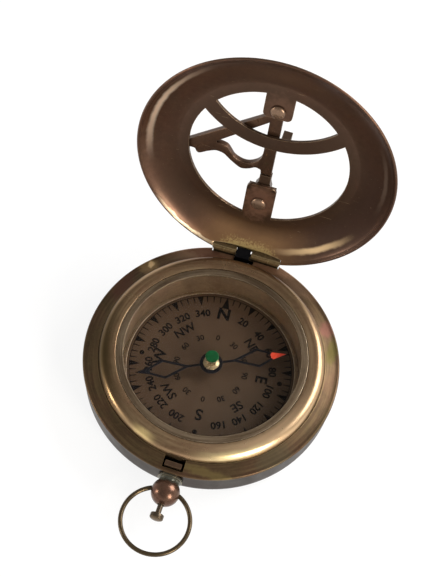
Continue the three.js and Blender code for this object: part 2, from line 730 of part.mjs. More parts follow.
// Wire ring, open at the ball, whose two ends point inwards as pegs
function bailRing() {
  const bendOut = ballRadius + ringWireRadius;
  const points = [
    new THREE.Vector3(ballRadius - ringPegDepth, 0, 0), new THREE.Vector3(ballRadius, 0, 0),
  ];
  const firstAngle = Math.asin(bendOut / ringMeanRadius);
  for (let i = 0; i <= ringSteps; i += 1) {
    const angle = firstAngle + (2 * Math.PI - 2 * firstAngle) * i / ringSteps;
    points.push(new THREE.Vector3(
      ringMeanRadius * Math.sin(angle), -ringCentreReach + ringMeanRadius * Math.cos(angle), 0,
    ));
  }
  points.push(new THREE.Vector3(-ballRadius, 0, 0), new THREE.Vector3(ringPegDepth - ballRadius, 0, 0));
  const section = new THREE.Shape();
  for (let i = 0; i < ringSides; i += 1) {
    const angle = 2 * Math.PI * i / ringSides;
    const [x, y] = [ringWireRadius * Math.cos(angle), ringWireRadius * Math.sin(angle)];
    if (i === 0) section.moveTo(x, y);
    else section.lineTo(x, y);
  }
  section.closePath();
  const extrudePath = new THREE.CatmullRomCurve3(points);
  return new THREE.ExtrudeGeometry(section, { steps: ringSteps, extrudePath });
}

function buildPendant(front) {
  place(front, 'pendant', pendant(), brass);
  place(front, 'push_button', pushButton(), brightBrass);
  place(front, 'bail_ring', bailRing().translate(0, ballCentreY, pendantAxisZ), brightBrass);
}

// Curved leaf under the flange at +Y, with a hole for its screw at the root and a riser at the free end
function leaf(left, right, riserTop) {
  const from = Math.PI / 2 - leafTipAngle;
  const to = Math.PI / 2 + leafRootAngle + leafTailAngle;
  const shape = new THREE.Shape();
  shape.absarc(0, 0, leafOuterRadius, from, to, false);
  shape.absarc(0, 0, leafInnerRadius, to, from, true);
  shape.closePath();
  const strip = plate(shape, leafBottom, leafBottom + leafHeight);
  const riser = box(left, right, leafInnerRadius, leafOuterRadius, leafBottom, riserTop);
  return joined(strip, riser);
}

function leafScrewPlace(geometry) {
  return geometry.rotateX(-Math.PI / 2).translate(0, 0, leafBottom + leafHeight / 2).rotateZ(leafRootAngle);
}

function leafScrewHole() {
  const hole = disc(
    leafScrewShankRadius + gap, leafInnerRadius - overrun / 2, leafOuterRadius + overrun / 2, tinyRoundSteps,
  );
  return leafScrewPlace(hole);
}

// Radial screw from inside the leaf to the case wall
function leafScrew() {
  const headTop = leafInnerRadius - gap;
  const headBottom = headTop - leafScrewHeadThickness;
  const end = caseWallRadius - caseWall - gap;
  return leafScrewPlace(turned([
    [0, headBottom], [leafScrewHeadRadius, headBottom], [leafScrewHeadRadius, headTop],
    [leafScrewShankRadius, headTop], [leafScrewShankRadius, end], [0, end],
  ], tinyRoundSteps));
}

function buildSprings(front) {
  const liftBottom = caseRimHeight + liftTongueRise;
  const liftTop = liftBottom + liftTongueThickness;
  const [left, right] = [liftTongueMiddle - liftTongueWidth / 2, liftTongueMiddle + liftTongueWidth / 2];
  const liftTongue = box(left, right, liftTongueStartY, liftTongueEndY, liftBottom, liftTop);
  const lift = cut(joined(leaf(left, right, liftTop), liftTongue), leafScrewHole());
  place(root, 'lift_spring', lift, blackSteel);
  place(root, 'lift_spring_screw', leafScrew(), brightBrass);
  const noseBottom = caseRimHeight + latchNoseRise;
  const noseTop = noseBottom + latchNoseThickness;
  const noseHalf = latchTongueWidth / 2;
  const nose = box(-noseHalf, noseHalf, leafInnerRadius, latchNoseReach, noseBottom, noseTop);
  const latch = cut(joined(leaf(-noseHalf, noseHalf, noseTop), nose), leafScrewHole());
  place(front, 'latch_spring', latch.rotateZ(Math.PI), brass);
  place(front, 'latch_spring_screw', leafScrew().rotateZ(Math.PI), brightBrass);
}

// Lid pieces are drawn shut and then swung open about the hinge pin
const lidSwing = new THREE.Group();
lidSwing.position.set(0, hingeAxisY, hingeAxisZ);
lidSwing.rotation.x = -lidOpenAngle;
const lid = new THREE.Group();
lid.position.set(0, -hingeAxisY, -hingeAxisZ);
lidSwing.add(lid);
root.add(lidSwing);

buildCase();
buildNeedle();
buildHinge(lid);
buildLid(lid);
const front = new THREE.Group();
front.rotation.z = frontTurn;
root.add(front);
buildPendant(front);
buildSprings(front);

export default root;
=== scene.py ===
import math

import bmesh
import bpy
from mathutils import Euler, Matrix, Vector, noise


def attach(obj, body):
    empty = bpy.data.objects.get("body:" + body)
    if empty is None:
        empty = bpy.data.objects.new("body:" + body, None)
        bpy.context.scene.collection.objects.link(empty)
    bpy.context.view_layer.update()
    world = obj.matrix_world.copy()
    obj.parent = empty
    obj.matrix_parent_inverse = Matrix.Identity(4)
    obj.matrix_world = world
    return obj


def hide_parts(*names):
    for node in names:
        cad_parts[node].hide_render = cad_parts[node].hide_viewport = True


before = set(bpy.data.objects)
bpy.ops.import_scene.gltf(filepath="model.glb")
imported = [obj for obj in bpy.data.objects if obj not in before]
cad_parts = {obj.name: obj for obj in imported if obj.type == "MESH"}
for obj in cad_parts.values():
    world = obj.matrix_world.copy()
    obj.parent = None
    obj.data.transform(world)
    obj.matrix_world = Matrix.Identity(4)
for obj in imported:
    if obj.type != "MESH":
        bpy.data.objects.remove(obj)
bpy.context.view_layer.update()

# Camera
# The view of the photograph, solved from the round edges of the case and the lid.
camera_azimuth = math.radians(9.99)
camera_elevation = math.radians(61.14)
camera_roll = math.radians(7.588)
camera_place = (0.02781, -0.16562, 0.35955)
camera_lens = 82.5
nearest_view = 0.01


def add_object(name, data):
    made = bpy.data.objects.new(name, data)
    bpy.context.scene.collection.objects.link(made)
    return made


camera_data = bpy.data.cameras.new("photo_camera")
camera_data.lens = camera_lens
camera_data.clip_start = nearest_view
camera = add_object("photo_camera", camera_data)
camera_turn = Euler((math.pi / 2 - camera_elevation, 0, camera_azimuth)).to_matrix()
camera_turn = camera_turn @ Matrix.Rotation(camera_roll, 3, "Z")
camera.matrix_world = Matrix.Translation(camera_place) @ camera_turn.to_4x4()
bpy.context.scene.camera = camera
bpy.context.scene.view_settings.view_transform = "Standard"

# Table and studio light
# A wide white table in a room that is white at eye level and grey overhead. One broad lamp hangs behind on
# the right, a warm one stands in front on the right, and a narrow one on the left draws the edges.
table_half = 3.0
table_drop = 0.00005
table_colour = (0.86, 0.86, 0.86)
table_shine_through = 0.82
table_glow = 1.04
white = (1, 1, 1)
warm_white = (1, 0.93, 0.82)
room_light = 0.5
ceiling_grey = 0.3


def put(tree, kind, inputs=None, **settings):
    node = tree.nodes.new("ShaderNode" + kind)
    for key, value in settings.items():
        setattr(node, key, value)
    for key, value in (inputs or {}).items():
        socket = node.inputs[key]
        if isinstance(value, bpy.types.NodeSocket):
            tree.links.new(value, socket)
        else:
            socket.default_value = (*value, 1) if socket.type == "RGBA" else value
    return node


def calc(tree, kind, *values):
    return put(tree, "Math", dict(enumerate(values)), operation=kind).outputs[0]


def times(tree, first, second):
    return calc(tree, "MULTIPLY", first, second)


def plus(tree, first, second):
    return calc(tree, "ADD", first, second)


def minus(tree, first, second):
    return calc(tree, "SUBTRACT", first, second)


def seen_directly(tree):
    path = put(tree, "LightPath").outputs
    seen = calc(tree, "MAXIMUM", path["Is Camera Ray"], path["Is Glossy Ray"])
    return calc(tree, "MAXIMUM", seen, path["Is Transmission Ray"])


def fresh_tree(owner):
    owner.use_nodes = True
    owner.node_tree.nodes.clear()
    return owner.node_tree


def new_material(name):
    material = bpy.data.materials.new(name)
    return material, fresh_tree(material)


def white_room():
    world = bpy.data.worlds.new("white_room")
    tree = fresh_tree(world)
    height = put(tree, "SeparateXYZ", {0: put(tree, "TexCoord").outputs["Generated"]}).outputs["Z"]
    overhead = put(tree, "MapRange", {
        "Value": height, "From Min": 0.12, "From Max": 0.5, "To Min": 1.0, "To Max": ceiling_grey},
        interpolation_type="SMOOTHSTEP").outputs[0]
    seen = put(tree, "Background", {"Color": white, "Strength": overhead})
    lit = put(tree, "Background", {"Color": white, "Strength": room_light})
    mix = put(tree, "MixShader", {0: seen_directly(tree), 1: lit.outputs[0], 2: seen.outputs[0]})
    put(tree, "OutputWorld", {0: mix.outputs[0]})
    bpy.context.scene.world = world


def table_top():
    mesh = bpy.data.meshes.new("table")
    corners = [(x * table_half, y * table_half, -table_drop)
               for x, y in ((-1, -1), (1, -1), (1, 1), (-1, 1))]
    mesh.from_pydata(corners, [], [(0, 1, 2, 3)])
    table = add_object("table", mesh)
    material, tree = new_material("white_table")
    matte = put(tree, "BsdfDiffuse", {"Color": table_colour})
    glow = put(tree, "Emission", {"Color": white, "Strength": table_glow})
    seen = times(tree, seen_directly(tree), table_shine_through)
    mix = put(tree, "MixShader", {0: seen, 1: matte.outputs[0], 2: glow.outputs[0]})
    put(tree, "OutputMaterial", {0: mix.outputs[0]})
    mesh.materials.append(material)


def lamp(name, place, aim_height, size, power, colour=white):
    data = bpy.data.lights.new(name, "AREA")
    data.shape = "RECTANGLE"
    data.size, data.size_y = size
    data.energy = power
    data.color = colour
    aim = (Vector((0, 0, aim_height)) - Vector(place)).to_track_quat("-Z", "Y")
    add_object(name, data).matrix_world = Matrix.Translation(place) @ aim.to_matrix().to_4x4()


white_room()
table_top()
lamp("back_right_lamp", (0.55, 0.42, 0.5), 0.02, (0.5, 0.5), 7)
lamp("front_right_lamp", (0.52, -0.42, 0.32), 0.01, (0.2, 0.3), 4.4, warm_white)
lamp("left_strip_lamp", (-0.6, -0.24, 0.2), 0.02, (0.06, 0.2), 1.4, warm_white)

# Case cup
# A deep cup spun from brass sheet, with a rounded bottom edge and a flat back. Years of handling have left
# it brown with lighter rubbed edges. A hole in front lets the push stem through.
MM = 0.001
front_turn = math.radians(-1.1)
rim_height = 13
case_radius = 37
case_wall = 1
case_round = 5
case_floor = 1
flange_thickness = 1.2
pendant_height = 8
stem_hole_radius = 1.1
round_steps = 180
knob_steps = 64
hole_steps = 32
reach_past = 2


def spin(angle, axis):
    return Matrix.Rotation(angle, 4, axis)


def shift(x, y, z):
    """A move in millimetres."""
    return Matrix.Translation((x * MM, y * MM, z * MM))


def piece_from(bm, name, place=None):
    mesh = bpy.data.meshes.new(name)
    bmesh.ops.recalc_face_normals(bm, faces=bm.faces)
    bm.to_mesh(mesh)
    bm.free()
    piece = add_object(name, mesh)
    if place is not None:
        piece.matrix_world = place
    return piece


def turned(name, outline, steps=round_steps, place=None):
    """Turns a (radius, height) outline in millimetres about the upright axis."""
    bm = bmesh.new()
    rings = []
    for radius, height in outline:
        if rings and (radius, height) == outline[0]:
            rings.append(rings[0])
        elif radius == 0:
            rings.append([bm.verts.new((0, 0, height * MM))])
        else:
            turns = [2 * math.pi * i / steps for i in range(steps)]
            rings.append([bm.verts.new((
                radius * math.cos(a) * MM, radius * math.sin(a) * MM, height * MM)) for a in turns])
    for low, high in zip(rings, rings[1:]):
        for i in range(steps):
            j = (i + 1) % steps
            corners = [low[i % len(low)], low[j % len(low)], high[j % len(high)], high[i % len(high)]]
            kept = [v for k, v in enumerate(corners) if v not in corners[:k]]
            bm.faces.new(kept)
    return piece_from(bm, name, place)


def arc(centre, half, start, end, steps=14):
    turns = [math.radians(start + (end - start) * i / steps) for i in range(steps + 1)]
    return [(centre[0] + half[0] * math.cos(a), centre[1] + half[1] * math.sin(a)) for a in turns]


def ring_outline(inner, outer, low, high):
    return [(inner, low), (outer, low), (outer, high), (inner, high), (inner, low)]


def disc_outline(radius, low, high):
    return [(0, low), (radius, low), (radius, high), (0, high)]


def brick(name, low, high, place=None):
    bm = bmesh.new()
    bmesh.ops.create_cube(bm, size=1)
    size = Vector(high) - Vector(low)
    middle = (Vector(high) + Vector(low)) / 2
    for v in bm.verts:
        v.co = Vector(c * s + m for c, s, m in zip(v.co, size, middle)) * MM
    return piece_from(bm, name, place)


def settle(piece):
    """Turns a piece and its modifiers into plain mesh."""
    bpy.context.view_layer.update()
    view = bpy.context.evaluated_depsgraph_get()
    mesh = bpy.data.meshes.new_from_object(piece.evaluated_get(view))
    piece.modifiers.clear()
    if piece.type == "MESH":
        piece.data = mesh
        return piece
    solid = add_object(piece.name, mesh)
    solid.matrix_world = piece.matrix_world
    name = piece.name
    bpy.data.objects.remove(piece)
    solid.name = name
    return solid


def combine(piece, tool, operation):
    cut = piece.modifiers.new("cut", "BOOLEAN")
    cut.operation = operation
    cut.solver = "EXACT"
    cut.object = tool
    settle(piece)
    bpy.data.objects.remove(tool)


def carve(piece, *tools):
    for tool in tools:
        combine(piece, tool, "DIFFERENCE")


def weld_on(piece, *others):
    for other in others:
        combine(piece, other, "UNION")


def soften(piece, edge, segments=2, angle=32):
    """Breaks the sharp edges of a piece, as a file or a polishing wheel does."""
    bevel = piece.modifiers.new("edge", "BEVEL")
    bevel.width = edge * MM
    bevel.segments = segments
    bevel.limit_method = "ANGLE"
    bevel.angle_limit = math.radians(angle)
    bevel.harden_normals = False
    settle(piece)
    smooth(piece)
    return piece


def smooth(piece, angle=38):
    """Smooth shading up to an angle, weighted so that the large faces beside a cut stay even."""
    piece.data.polygons.foreach_set("use_smooth", [True] * len(piece.data.polygons))
    piece.data.set_sharp_from_angle(angle=math.radians(angle))
    even = piece.modifiers.new("even", "WEIGHTED_NORMAL")
    even.keep_sharp = True
    even.weight = 50
    settle(piece)


def fade(tree, value, start, end, most=1.0, kind="LINEAR"):
    """A mask that goes from nothing to its most as the value goes from start to end."""
    limits = {"Value": value, "From Min": start, "From Max": end, "To Max": most}
    return put(tree, "MapRange", limits, interpolation_type=kind).outputs[0]


def spread(tree, mask, low, high):
    return put(tree, "MapRange", {"Value": mask, "To Min": low, "To Max": high}).outputs[0]


def noise_at(tree, place, scale, detail, roughness=0.5):
    amounts = {"Vector": place, "Scale": scale, "Detail": detail, "Roughness": roughness}
    return put(tree, "TexNoise", amounts).outputs["Fac"]


def wandering(tree, value, noise, reach):
    """A value with a swing to either side, by half of the reach."""
    return plus(tree, value, times(tree, minus(tree, noise, 0.5), reach))


def effect(name, inputs, outputs):
    """An empty shader group with a place, named amounts and named outputs."""
    group = bpy.data.node_groups.new(name, "ShaderNodeTree")
    group.interface.new_socket("Place", in_out="INPUT", socket_type="NodeSocketVector")
    for label, value in inputs.items():
        socket = group.interface.new_socket(label, in_out="INPUT", socket_type="NodeSocketFloat")
        socket.default_value = value
    for label in outputs:
        group.interface.new_socket(label, in_out="OUTPUT", socket_type="NodeSocketFloat")
    return group, group.nodes.new("NodeGroupInput").outputs, group.nodes.new("NodeGroupOutput").inputs


def cloudy_tarnish():
    group, given, made = effect("cloudy_tarnish", {"Size": 6, "Softness": 0.15}, ["Mask"])
    scale = calc(group, "DIVIDE", 1.0, given["Size"])
    cloud = put(group, "TexNoise", {
        "Vector": given["Place"], "Scale": scale, "Detail": 7.0, "Roughness": 0.62, "Distortion": 0.6})
    low = minus(group, 0.5, given["Softness"])
    high = plus(group, 0.5, given["Softness"])
    group.links.new(fade(group, cloud.outputs["Fac"], low, high), made["Mask"])
    return group


def across_of(tree, place):
    """The two level parts of a place."""
    parts = put(tree, "SeparateXYZ", {0: place}).outputs
    return parts["X"], parts["Y"]


def reach_of(tree, x, y):
    """Distance from the middle of two level parts."""
    flat = put(tree, "CombineXYZ", {"X": x, "Y": y}).outputs[0]
    return put(tree, "VectorMath", {0: flat}, operation="LENGTH").outputs["Value"]


def turning_rings():
    group, given, made = effect("turning_rings", {"Spacing": 0.2}, ["Height"])
    radius = reach_of(group, *across_of(group, given["Place"]))
    along = calc(group, "DIVIDE", radius, given["Spacing"])
    rings = put(group, "TexNoise", {"W": along, "Scale": 1.0, "Detail": 3.0}, noise_dimensions="1D")
    height = times(group, rings.outputs["Fac"], noise_at(group, given["Place"], 0.25, 2.0))
    group.links.new(height, made["Height"])
    return group


def spun_streaks():
    group, given, made = effect("spun_streaks", {}, ["Mask"])
    x, y = across_of(group, given["Place"])
    flat = put(group, "CombineXYZ", {"X": x, "Y": y}).outputs[0]
    radius = reach_of(group, x, y)
    bearing = put(group, "VectorMath", {0: flat}, operation="NORMALIZE").outputs[0]
    round_parts = put(group, "SeparateXYZ", {0: bearing}).outputs
    strand = put(group, "CombineXYZ", {
        "X": times(group, radius, 1.1), "Y": times(group, round_parts["X"], 1.6),
        "Z": times(group, round_parts["Y"], 1.6)}).outputs[0]
    lines = noise_at(group, strand, 1.0, 5.0, 0.6)
    group.links.new(fade(group, lines, 0.42, 0.66), made["Mask"])
    return group


def hair_scratches():
    group, given, made = effect("hair_scratches", {"Amount": 0.3}, ["Mask"])
    masks = []
    for turn in (0.4, 1.5, 2.5):
        lie = put(group, "Mapping", {
            "Vector": given["Place"], "Rotation": (0.3 * turn, 0.2 * turn, turn),
            "Scale": (0.09, 3.2, 3.2)})
        lines = put(group, "TexNoise", {
            "Vector": lie.outputs[0], "Scale": 1.0, "Detail": 4.0, "Roughness": 0.55, "Distortion": 0.15})
        low = minus(group, 0.86, times(group, given["Amount"], 0.35))
        masks.append(fade(group, lines.outputs["Fac"], low, plus(group, low, 0.03)))
    both = calc(group, "MAXIMUM", masks[0], masks[1])
    group.links.new(calc(group, "MAXIMUM", both, masks[2]), made["Mask"])
    return group


def worn_edges():
    group, given, made = effect("worn_edges", {"Amount": 0.5}, ["Mask", "Crease_shade_and_grime"])
    rounded = put(group, "Bevel", {"Radius": 0.3 * MM}, samples=6).outputs[0]
    straight = put(group, "NewGeometry").outputs["Normal"]
    alike = put(group, "VectorMath", {0: rounded, 1: straight}, operation="DOT_PRODUCT").outputs["Value"]
    breakup = noise_at(group, given["Place"], 0.9, 5.0)
    shifted = wandering(group, alike, breakup, 0.12)
    edge = fade(group, shifted, 0.97, 0.86)
    # Painted shade and grime: creases found by ambient occlusion turn darker.
    open_sky = put(group, "AmbientOcclusion", {"Distance": 0.9 * MM}, samples=6, only_local=True)
    crease = fade(group, open_sky.outputs["AO"], 0.75, 0.4)
    edge = times(group, edge, minus(group, 1.0, crease))
    group.links.new(times(group, edge, given["Amount"]), made["Mask"])
    group.links.new(times(group, crease, given["Amount"]), made["Crease_shade_and_grime"])
    return group


tarnish_group = cloudy_tarnish()
rings_group = turning_rings()
streaks_group = spun_streaks()
scratch_group = hair_scratches()
wear_and_shade_group = worn_edges()


def place_group(tree, group, place, **amounts):
    return put(tree, "Group", {"Place": place, **amounts}, node_tree=group).outputs


def clouds(tree, place, size, softness):
    return place_group(tree, tarnish_group, place, Size=size, Softness=softness)["Mask"]


def in_millimetres(tree, swung=None):
    """Place on the part in millimetres. For a swung piece it is its place before the swing."""
    place = put(tree, "TexCoord").outputs["Object"]
    place = put(tree, "VectorMath", {0: place, "Scale": 1 / MM}, operation="SCALE").outputs[0]
    if swung is None:
        return place
    back = swung.inverted()
    return put(tree, "Mapping", {
        "Vector": place, "Location": back.translation / MM, "Rotation": back.to_euler()}).outputs[0]


def blend_colour(tree, share, first, second):
    return put(tree, "Mix", {0: share, 6: first, 7: second}, data_type="RGBA").outputs[2]


def principled(tree, amounts):
    shader = put(tree, "BsdfPrincipled", amounts)
    put(tree, "OutputMaterial", {0: shader.outputs[0]})


def brass(name, light, dark, rubbed, patch=6, rough=(0.28, 0.5), rings=0.0, scratches=0.25, wear=0.6,
          stain=None, swung=None, spots=(), lacquer=0.3, streaks=0.0):
    """Old lacquered brass: browns in clouds, rubbed bright edges, painted shade and grime in the corners,
    turning marks.
    """
    material, tree = new_material(name)
    place = in_millimetres(tree, swung)
    cloud = clouds(tree, place, patch, 0.3)
    speckle = clouds(tree, place, patch / 9, 0.12)
    colour = blend_colour(tree, cloud, dark, light)
    darker = tuple(c * 0.55 for c in dark)
    colour = blend_colour(tree, times(tree, speckle, 0.35), colour, darker)
    if stain is not None:
        red = clouds(tree, place, patch * 1.3, 0.2)
        colour = blend_colour(tree, times(tree, red, 0.45), colour, stain)
    if streaks:
        spun = place_group(tree, streaks_group, place)["Mask"]
        colour = blend_colour(tree, times(tree, spun, streaks), colour, rubbed)
    for shape, spot_colour in spots:
        colour = blend_colour(tree, shape(tree, place), colour, spot_colour)
    worn = place_group(tree, wear_and_shade_group, place, Amount=wear)
    # Painted shade and grime darken the creases.
    colour = blend_colour(tree, worn["Crease_shade_and_grime"], colour, darker)
    colour = blend_colour(tree, worn["Mask"], colour, rubbed)
    lines = place_group(tree, scratch_group, place, Amount=scratches)["Mask"]
    colour = blend_colour(tree, times(tree, lines, 0.5), colour, rubbed)
    turning = place_group(tree, rings_group, place, Spacing=0.22)["Height"]
    bump_height = plus(tree, times(tree, turning, rings), times(tree, lines, -0.2))
    bump_height = plus(tree, bump_height, times(tree, speckle, 0.18))
    bump = put(tree, "Bump", {"Height": bump_height, "Strength": 0.35, "Distance": 0.00004})
    rough_mask = spread(tree, cloud, rough[1], rough[0])
    bare = spread(tree, worn["Mask"], 1 - lacquer, 1.0)
    principled(tree, {
        "Base Color": colour, "Metallic": bare, "Roughness": rough_mask, "Normal": bump.outputs[0],
        "Specular IOR Level": 0.25})
    return material


def dress(piece, material, body, slot, *nodes):
    piece.data.transform(piece.matrix_world)
    piece.matrix_world = Matrix.Identity(4)
    piece.data.materials.clear()
    piece.data.materials.append(material)
    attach(piece, body)
    if nodes:
        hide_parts(*nodes)
    return piece


front_axis = spin(front_turn, "Z") @ shift(0, 0, pendant_height) @ spin(math.pi / 2, "X")
case_brass = brass("case_brass", (0.046, 0.032, 0.018), (0.023, 0.016, 0.01), (0.2, 0.14, 0.08), patch=9,
                   rings=0.5, stain=(0.045, 0.023, 0.015), lacquer=0.15)


def case_cup():
    bottom = case_radius - case_round
    inner_round = case_round - case_floor
    top = rim_height - flange_thickness
    cup = turned("case_cup_body", [
        (0, 0), *arc((bottom, case_round), (case_round, case_round), -90, 0), (case_radius, top),
        (case_radius - case_wall, top), *arc((bottom, case_round), (inner_round, inner_round), 0, -90),
        (0, case_floor)])
    hole = disc_outline(stem_hole_radius, case_radius - reach_past, case_radius + reach_past)
    carve(cup, turned("stem_hole", hole, hole_steps, front_axis))
    smooth(cup)
    return dress(cup, case_brass, "case", "aged_brass", "case_cup")


case_cup()

# Rim flange
# A pressed ring soldered on the case wall, with a rolled bead outside and a sloping part inside. Two slots
# let the catch and the lift spring through, and the hinge sits in a gap at the back.
flange_overhang = 0.45
bead_radius = 0.6
flange_flat = 1.05
flange_inner_radius = 33.05
flange_rise = 0.9
slot_width = 6.1
latch_slot_reach = 36.3
lift_slot_middle = -0.3
hinge_axis_y = 36.2
hinge_barrel_radius = 1.1
hinge_length = 20.4
fit_gap = 0.3


def blotch(x, y, half_x, half_y, strength=0.8):
    """A soft-edged spot on the brass, by its middle and its half sizes in millimetres."""
    def shape(tree, place):
        place_x, place_y = across_of(tree, place)
        off_x = calc(tree, "DIVIDE", minus(tree, place_x, x), half_x)
        off_y = calc(tree, "DIVIDE", minus(tree, place_y, y), half_y)
        off = wandering(tree, reach_of(tree, off_x, off_y), noise_at(tree, place, 0.7, 4.0), 1.2)
        return fade(tree, off, 1.2, 0.6, strength)
    return shape


def behind(tree, place):
    """Painted light: lighter brown at the back, round the hinge."""
    return fade(tree, across_of(tree, place)[1], 27.0, 33.0, 0.75)


flange_brass = brass("flange_brass", (0.1, 0.068, 0.032), (0.048, 0.032, 0.017), (0.34, 0.24, 0.11),
                     patch=8, rings=0.6, scratches=0.35, stain=(0.12, 0.05, 0.032), streaks=0.2, spots=[
                         (behind, (0.42, 0.24, 0.145)),
                         (blotch(33, 13.2, 1.7, 4.5, 0.7), (0.085, 0.072, 0.014)),
                         # Painted highlight: a gold glint on the flange at the upper left, a soft spot
                         # round a bright core.
                         (blotch(-27.0, 23.4, 2.8, 3.0, 0.6), (0.3, 0.19, 0.085)),
                         (blotch(-26.4, 24, 0.9, 1.3, 0.85), (0.8, 0.55, 0.28)),
                         (blotch(29.5, 19.5, 2.2, 3), (0.17, 0.07, 0.05)),
                         (blotch(16, 30.5, 7, 3, 0.65), (0.12, 0.075, 0.045)),
                         (blotch(-32, 15, 3, 7, 0.6), (0.1, 0.04, 0.028)),
                         (blotch(-12, 33.5, 6, 2.5, 0.6), (0.15, 0.065, 0.042)),
                         (blotch(9, -34.5, 9, 1.3, 0.6), (0.2, 0.145, 0.055)),
                         (blotch(26, -25, 6, 6, 0.5), (0.1, 0.08, 0.045))])


def rim_flange():
    bead = case_radius + flange_overhang - bead_radius
    flat = bead - flange_flat
    bottom = rim_height - flange_thickness
    ring = turned("rim_flange_body", [
        (flat, bottom), (bead, bottom),
        *arc((bead, rim_height - bead_radius), (bead_radius, bead_radius), -90, 90),
        (flat, rim_height), (flange_inner_radius, rim_height + flange_rise),
        (flange_inner_radius, bottom + flange_rise), (flat, bottom)])
    low, high = bottom - reach_past, rim_height + flange_rise + reach_past
    half, inner, outer = slot_width / 2, flange_inner_radius - reach_past, case_radius + reach_past
    seat, seat_front = hinge_length / 2 + fit_gap, hinge_axis_y - hinge_barrel_radius - fit_gap
    carve(
        ring,
        brick("latch_slot", (-half, -latch_slot_reach, low), (half, -inner, high), spin(front_turn, "Z")),
        brick("lift_slot", (lift_slot_middle - half, inner, low), (lift_slot_middle + half, outer, high)),
        brick("hinge_seat", (-seat, seat_front, low), (seat, outer, high)))
    return dress(soften(ring, 0.12), flange_brass, "case", "aged_brass", "rim_flange")


rim_flange()

# Compass bowl
# A turned brass bowl inside the case. Its bore is the wall seen round the dial, and the glass lies on its
# upper land.
bowl_radius = 31
bowl_bore_radius = 26.1
bowl_ledge = 2.1
bowl_floor = 1
bezel_bottom = rim_height - 1
bezel_inner_radius = 28
slip = 0.15
glass_ring_top = rim_height + 3.2
glass_top = glass_ring_top - 0.7
glass_bottom = glass_top - 0.8
dial_top = rim_height - 7
dial_bottom = dial_top - 0.8

bowl_brass = brass("bowl_brass", (0.28, 0.185, 0.11), (0.16, 0.105, 0.062), (0.45, 0.32, 0.18), patch=6,
                   rings=0.3, wear=0.3)


def compass_bowl():
    ledge = bowl_bore_radius - bowl_ledge
    collar = bezel_inner_radius - slip
    bowl = turned("compass_bowl_body", [
        (0, case_floor), (bowl_radius, case_floor), (bowl_radius, bezel_bottom), (collar, bezel_bottom),
        (collar, glass_bottom), (bowl_bore_radius, glass_bottom), (bowl_bore_radius, dial_bottom),
        (ledge, dial_bottom), (ledge, case_floor + bowl_floor), (0, case_floor + bowl_floor)])
    return dress(soften(bowl, 0.1), bowl_brass, "case", "aged_brass", "compass_bowl")


compass_bowl()

# Dial
# A flat brass disc, etched and filled with black: a scale of degrees counted clockwise, the points of the
# compass, and a quadrant scale nearer the middle. It is set four degrees to the left in the case.
dial_radius = bowl_bore_radius - slip
dial_turn = math.radians(4)
mark_height = 0.03
scale_radius = 24
tick_length = 2
wedge_length = 3
wedge_half = 0.95
line_width = 0.2
degree_text = (18.2, 3.1, 0.1)
letter_text = (15.2, 4.9, 0.12)
quarter_text = (14.3, 3.7, 0.09)
quadrant_text = (10.2, 2.4, 0.06)
north_text = (18.3, 5.2, 0.2)
north_arrow_base = 20.4
north_arrow_tip = 24.3
north_arrow_half = 1.15
point_half = 0.05
dot_radius = 0.72
dot_place = 20.86


def etched_metal():
    material, tree = new_material("dial_metal")
    place = in_millimetres(tree)
    cloud = clouds(tree, place, 11.0, 0.22)
    dust = clouds(tree, place, 0.35, 0.15)
    colour = blend_colour(tree, cloud, (0.048, 0.03, 0.018), (0.08, 0.049, 0.029))
    colour = blend_colour(tree, times(tree, dust, 0.3), colour, (0.03, 0.02, 0.013))
    # Painted shade: darker toward the right and the front, where the wall of the bowl shades the dial.
    x, y = across_of(tree, place)
    across = minus(tree, times(tree, x, 0.85), times(tree, y, 0.5))
    across = plus(tree, across, times(tree, noise_at(tree, place, 0.1, 3.0), 12.0))
    painted_wall_shade = fade(tree, across, 10.0, 28.0, 0.38)
    colour = blend_colour(tree, painted_wall_shade, colour, (0.016, 0.016, 0.011))
    bump = put(tree, "Bump", {"Height": dust, "Strength": 0.2, "Distance": 0.00003})
    rough = spread(tree, cloud, 0.5, 0.62)
    principled(tree, {
        "Base Color": colour, "Metallic": 0.4, "Roughness": rough, "Normal": bump.outputs[0],
        "Specular IOR Level": 0.08})
    return material


def etched_black():
    material, tree = new_material("etched_black")
    place = in_millimetres(tree)
    thin = clouds(tree, place, 0.9, 0.2)
    colour = blend_colour(tree, thin, (0.002, 0.002, 0.002), (0.009, 0.007, 0.006))
    principled(tree, {"Base Color": colour, "Roughness": 0.8, "Specular IOR Level": 0.05})
    return material


dial_metal = etched_metal()
black_fill = etched_black()


def close_skin(bm, loops):
    """A closed skin over a row of like loops of places in millimetres."""
    rows = [[bm.verts.new(Vector(place) * MM) for place in loop] for loop in loops]
    count = len(rows[0])
    for near, far in zip(rows, rows[1:]):
        for k in range(count):
            j = (k + 1) % count
            bm.faces.new((near[k], near[j], far[j], far[k]))
    bm.faces.new(rows[0][::-1])
    bm.faces.new(rows[-1])


def flat_mark(bm, corners, low, high):
    """A thin flat patch of filling, drawn by its corners in millimetres."""
    close_skin(bm, [[(x, y, z) for x, y in corners] for z in (low, high)])


def polar(radius, angle):
    return (radius * math.cos(angle), radius * math.sin(angle))


def spoke(bm, angle, inner, outer, half_inner, half_outer, low, high, centre=(0, 0)):
    """A radial line or wedge."""
    along, across = polar(1, angle), polar(1, angle + math.pi / 2)
    ends = ((inner, -half_inner), (outer, -half_outer), (outer, half_outer), (inner, half_inner))
    flat_mark(bm, [tuple(centre[k] + reach * along[k] + side * across[k] for k in (0, 1))
                   for reach, side in ends], low, high)


def circle_line(bm, radius, width, low, high, steps=144):
    for i in range(steps):
        a, b = 2 * math.pi * i / steps, 2 * math.pi * (i + 1) / steps
        flat_mark(bm, [polar(radius - width / 2, a), polar(radius + width / 2, a),
                       polar(radius + width / 2, b), polar(radius - width / 2, b)], low, high)


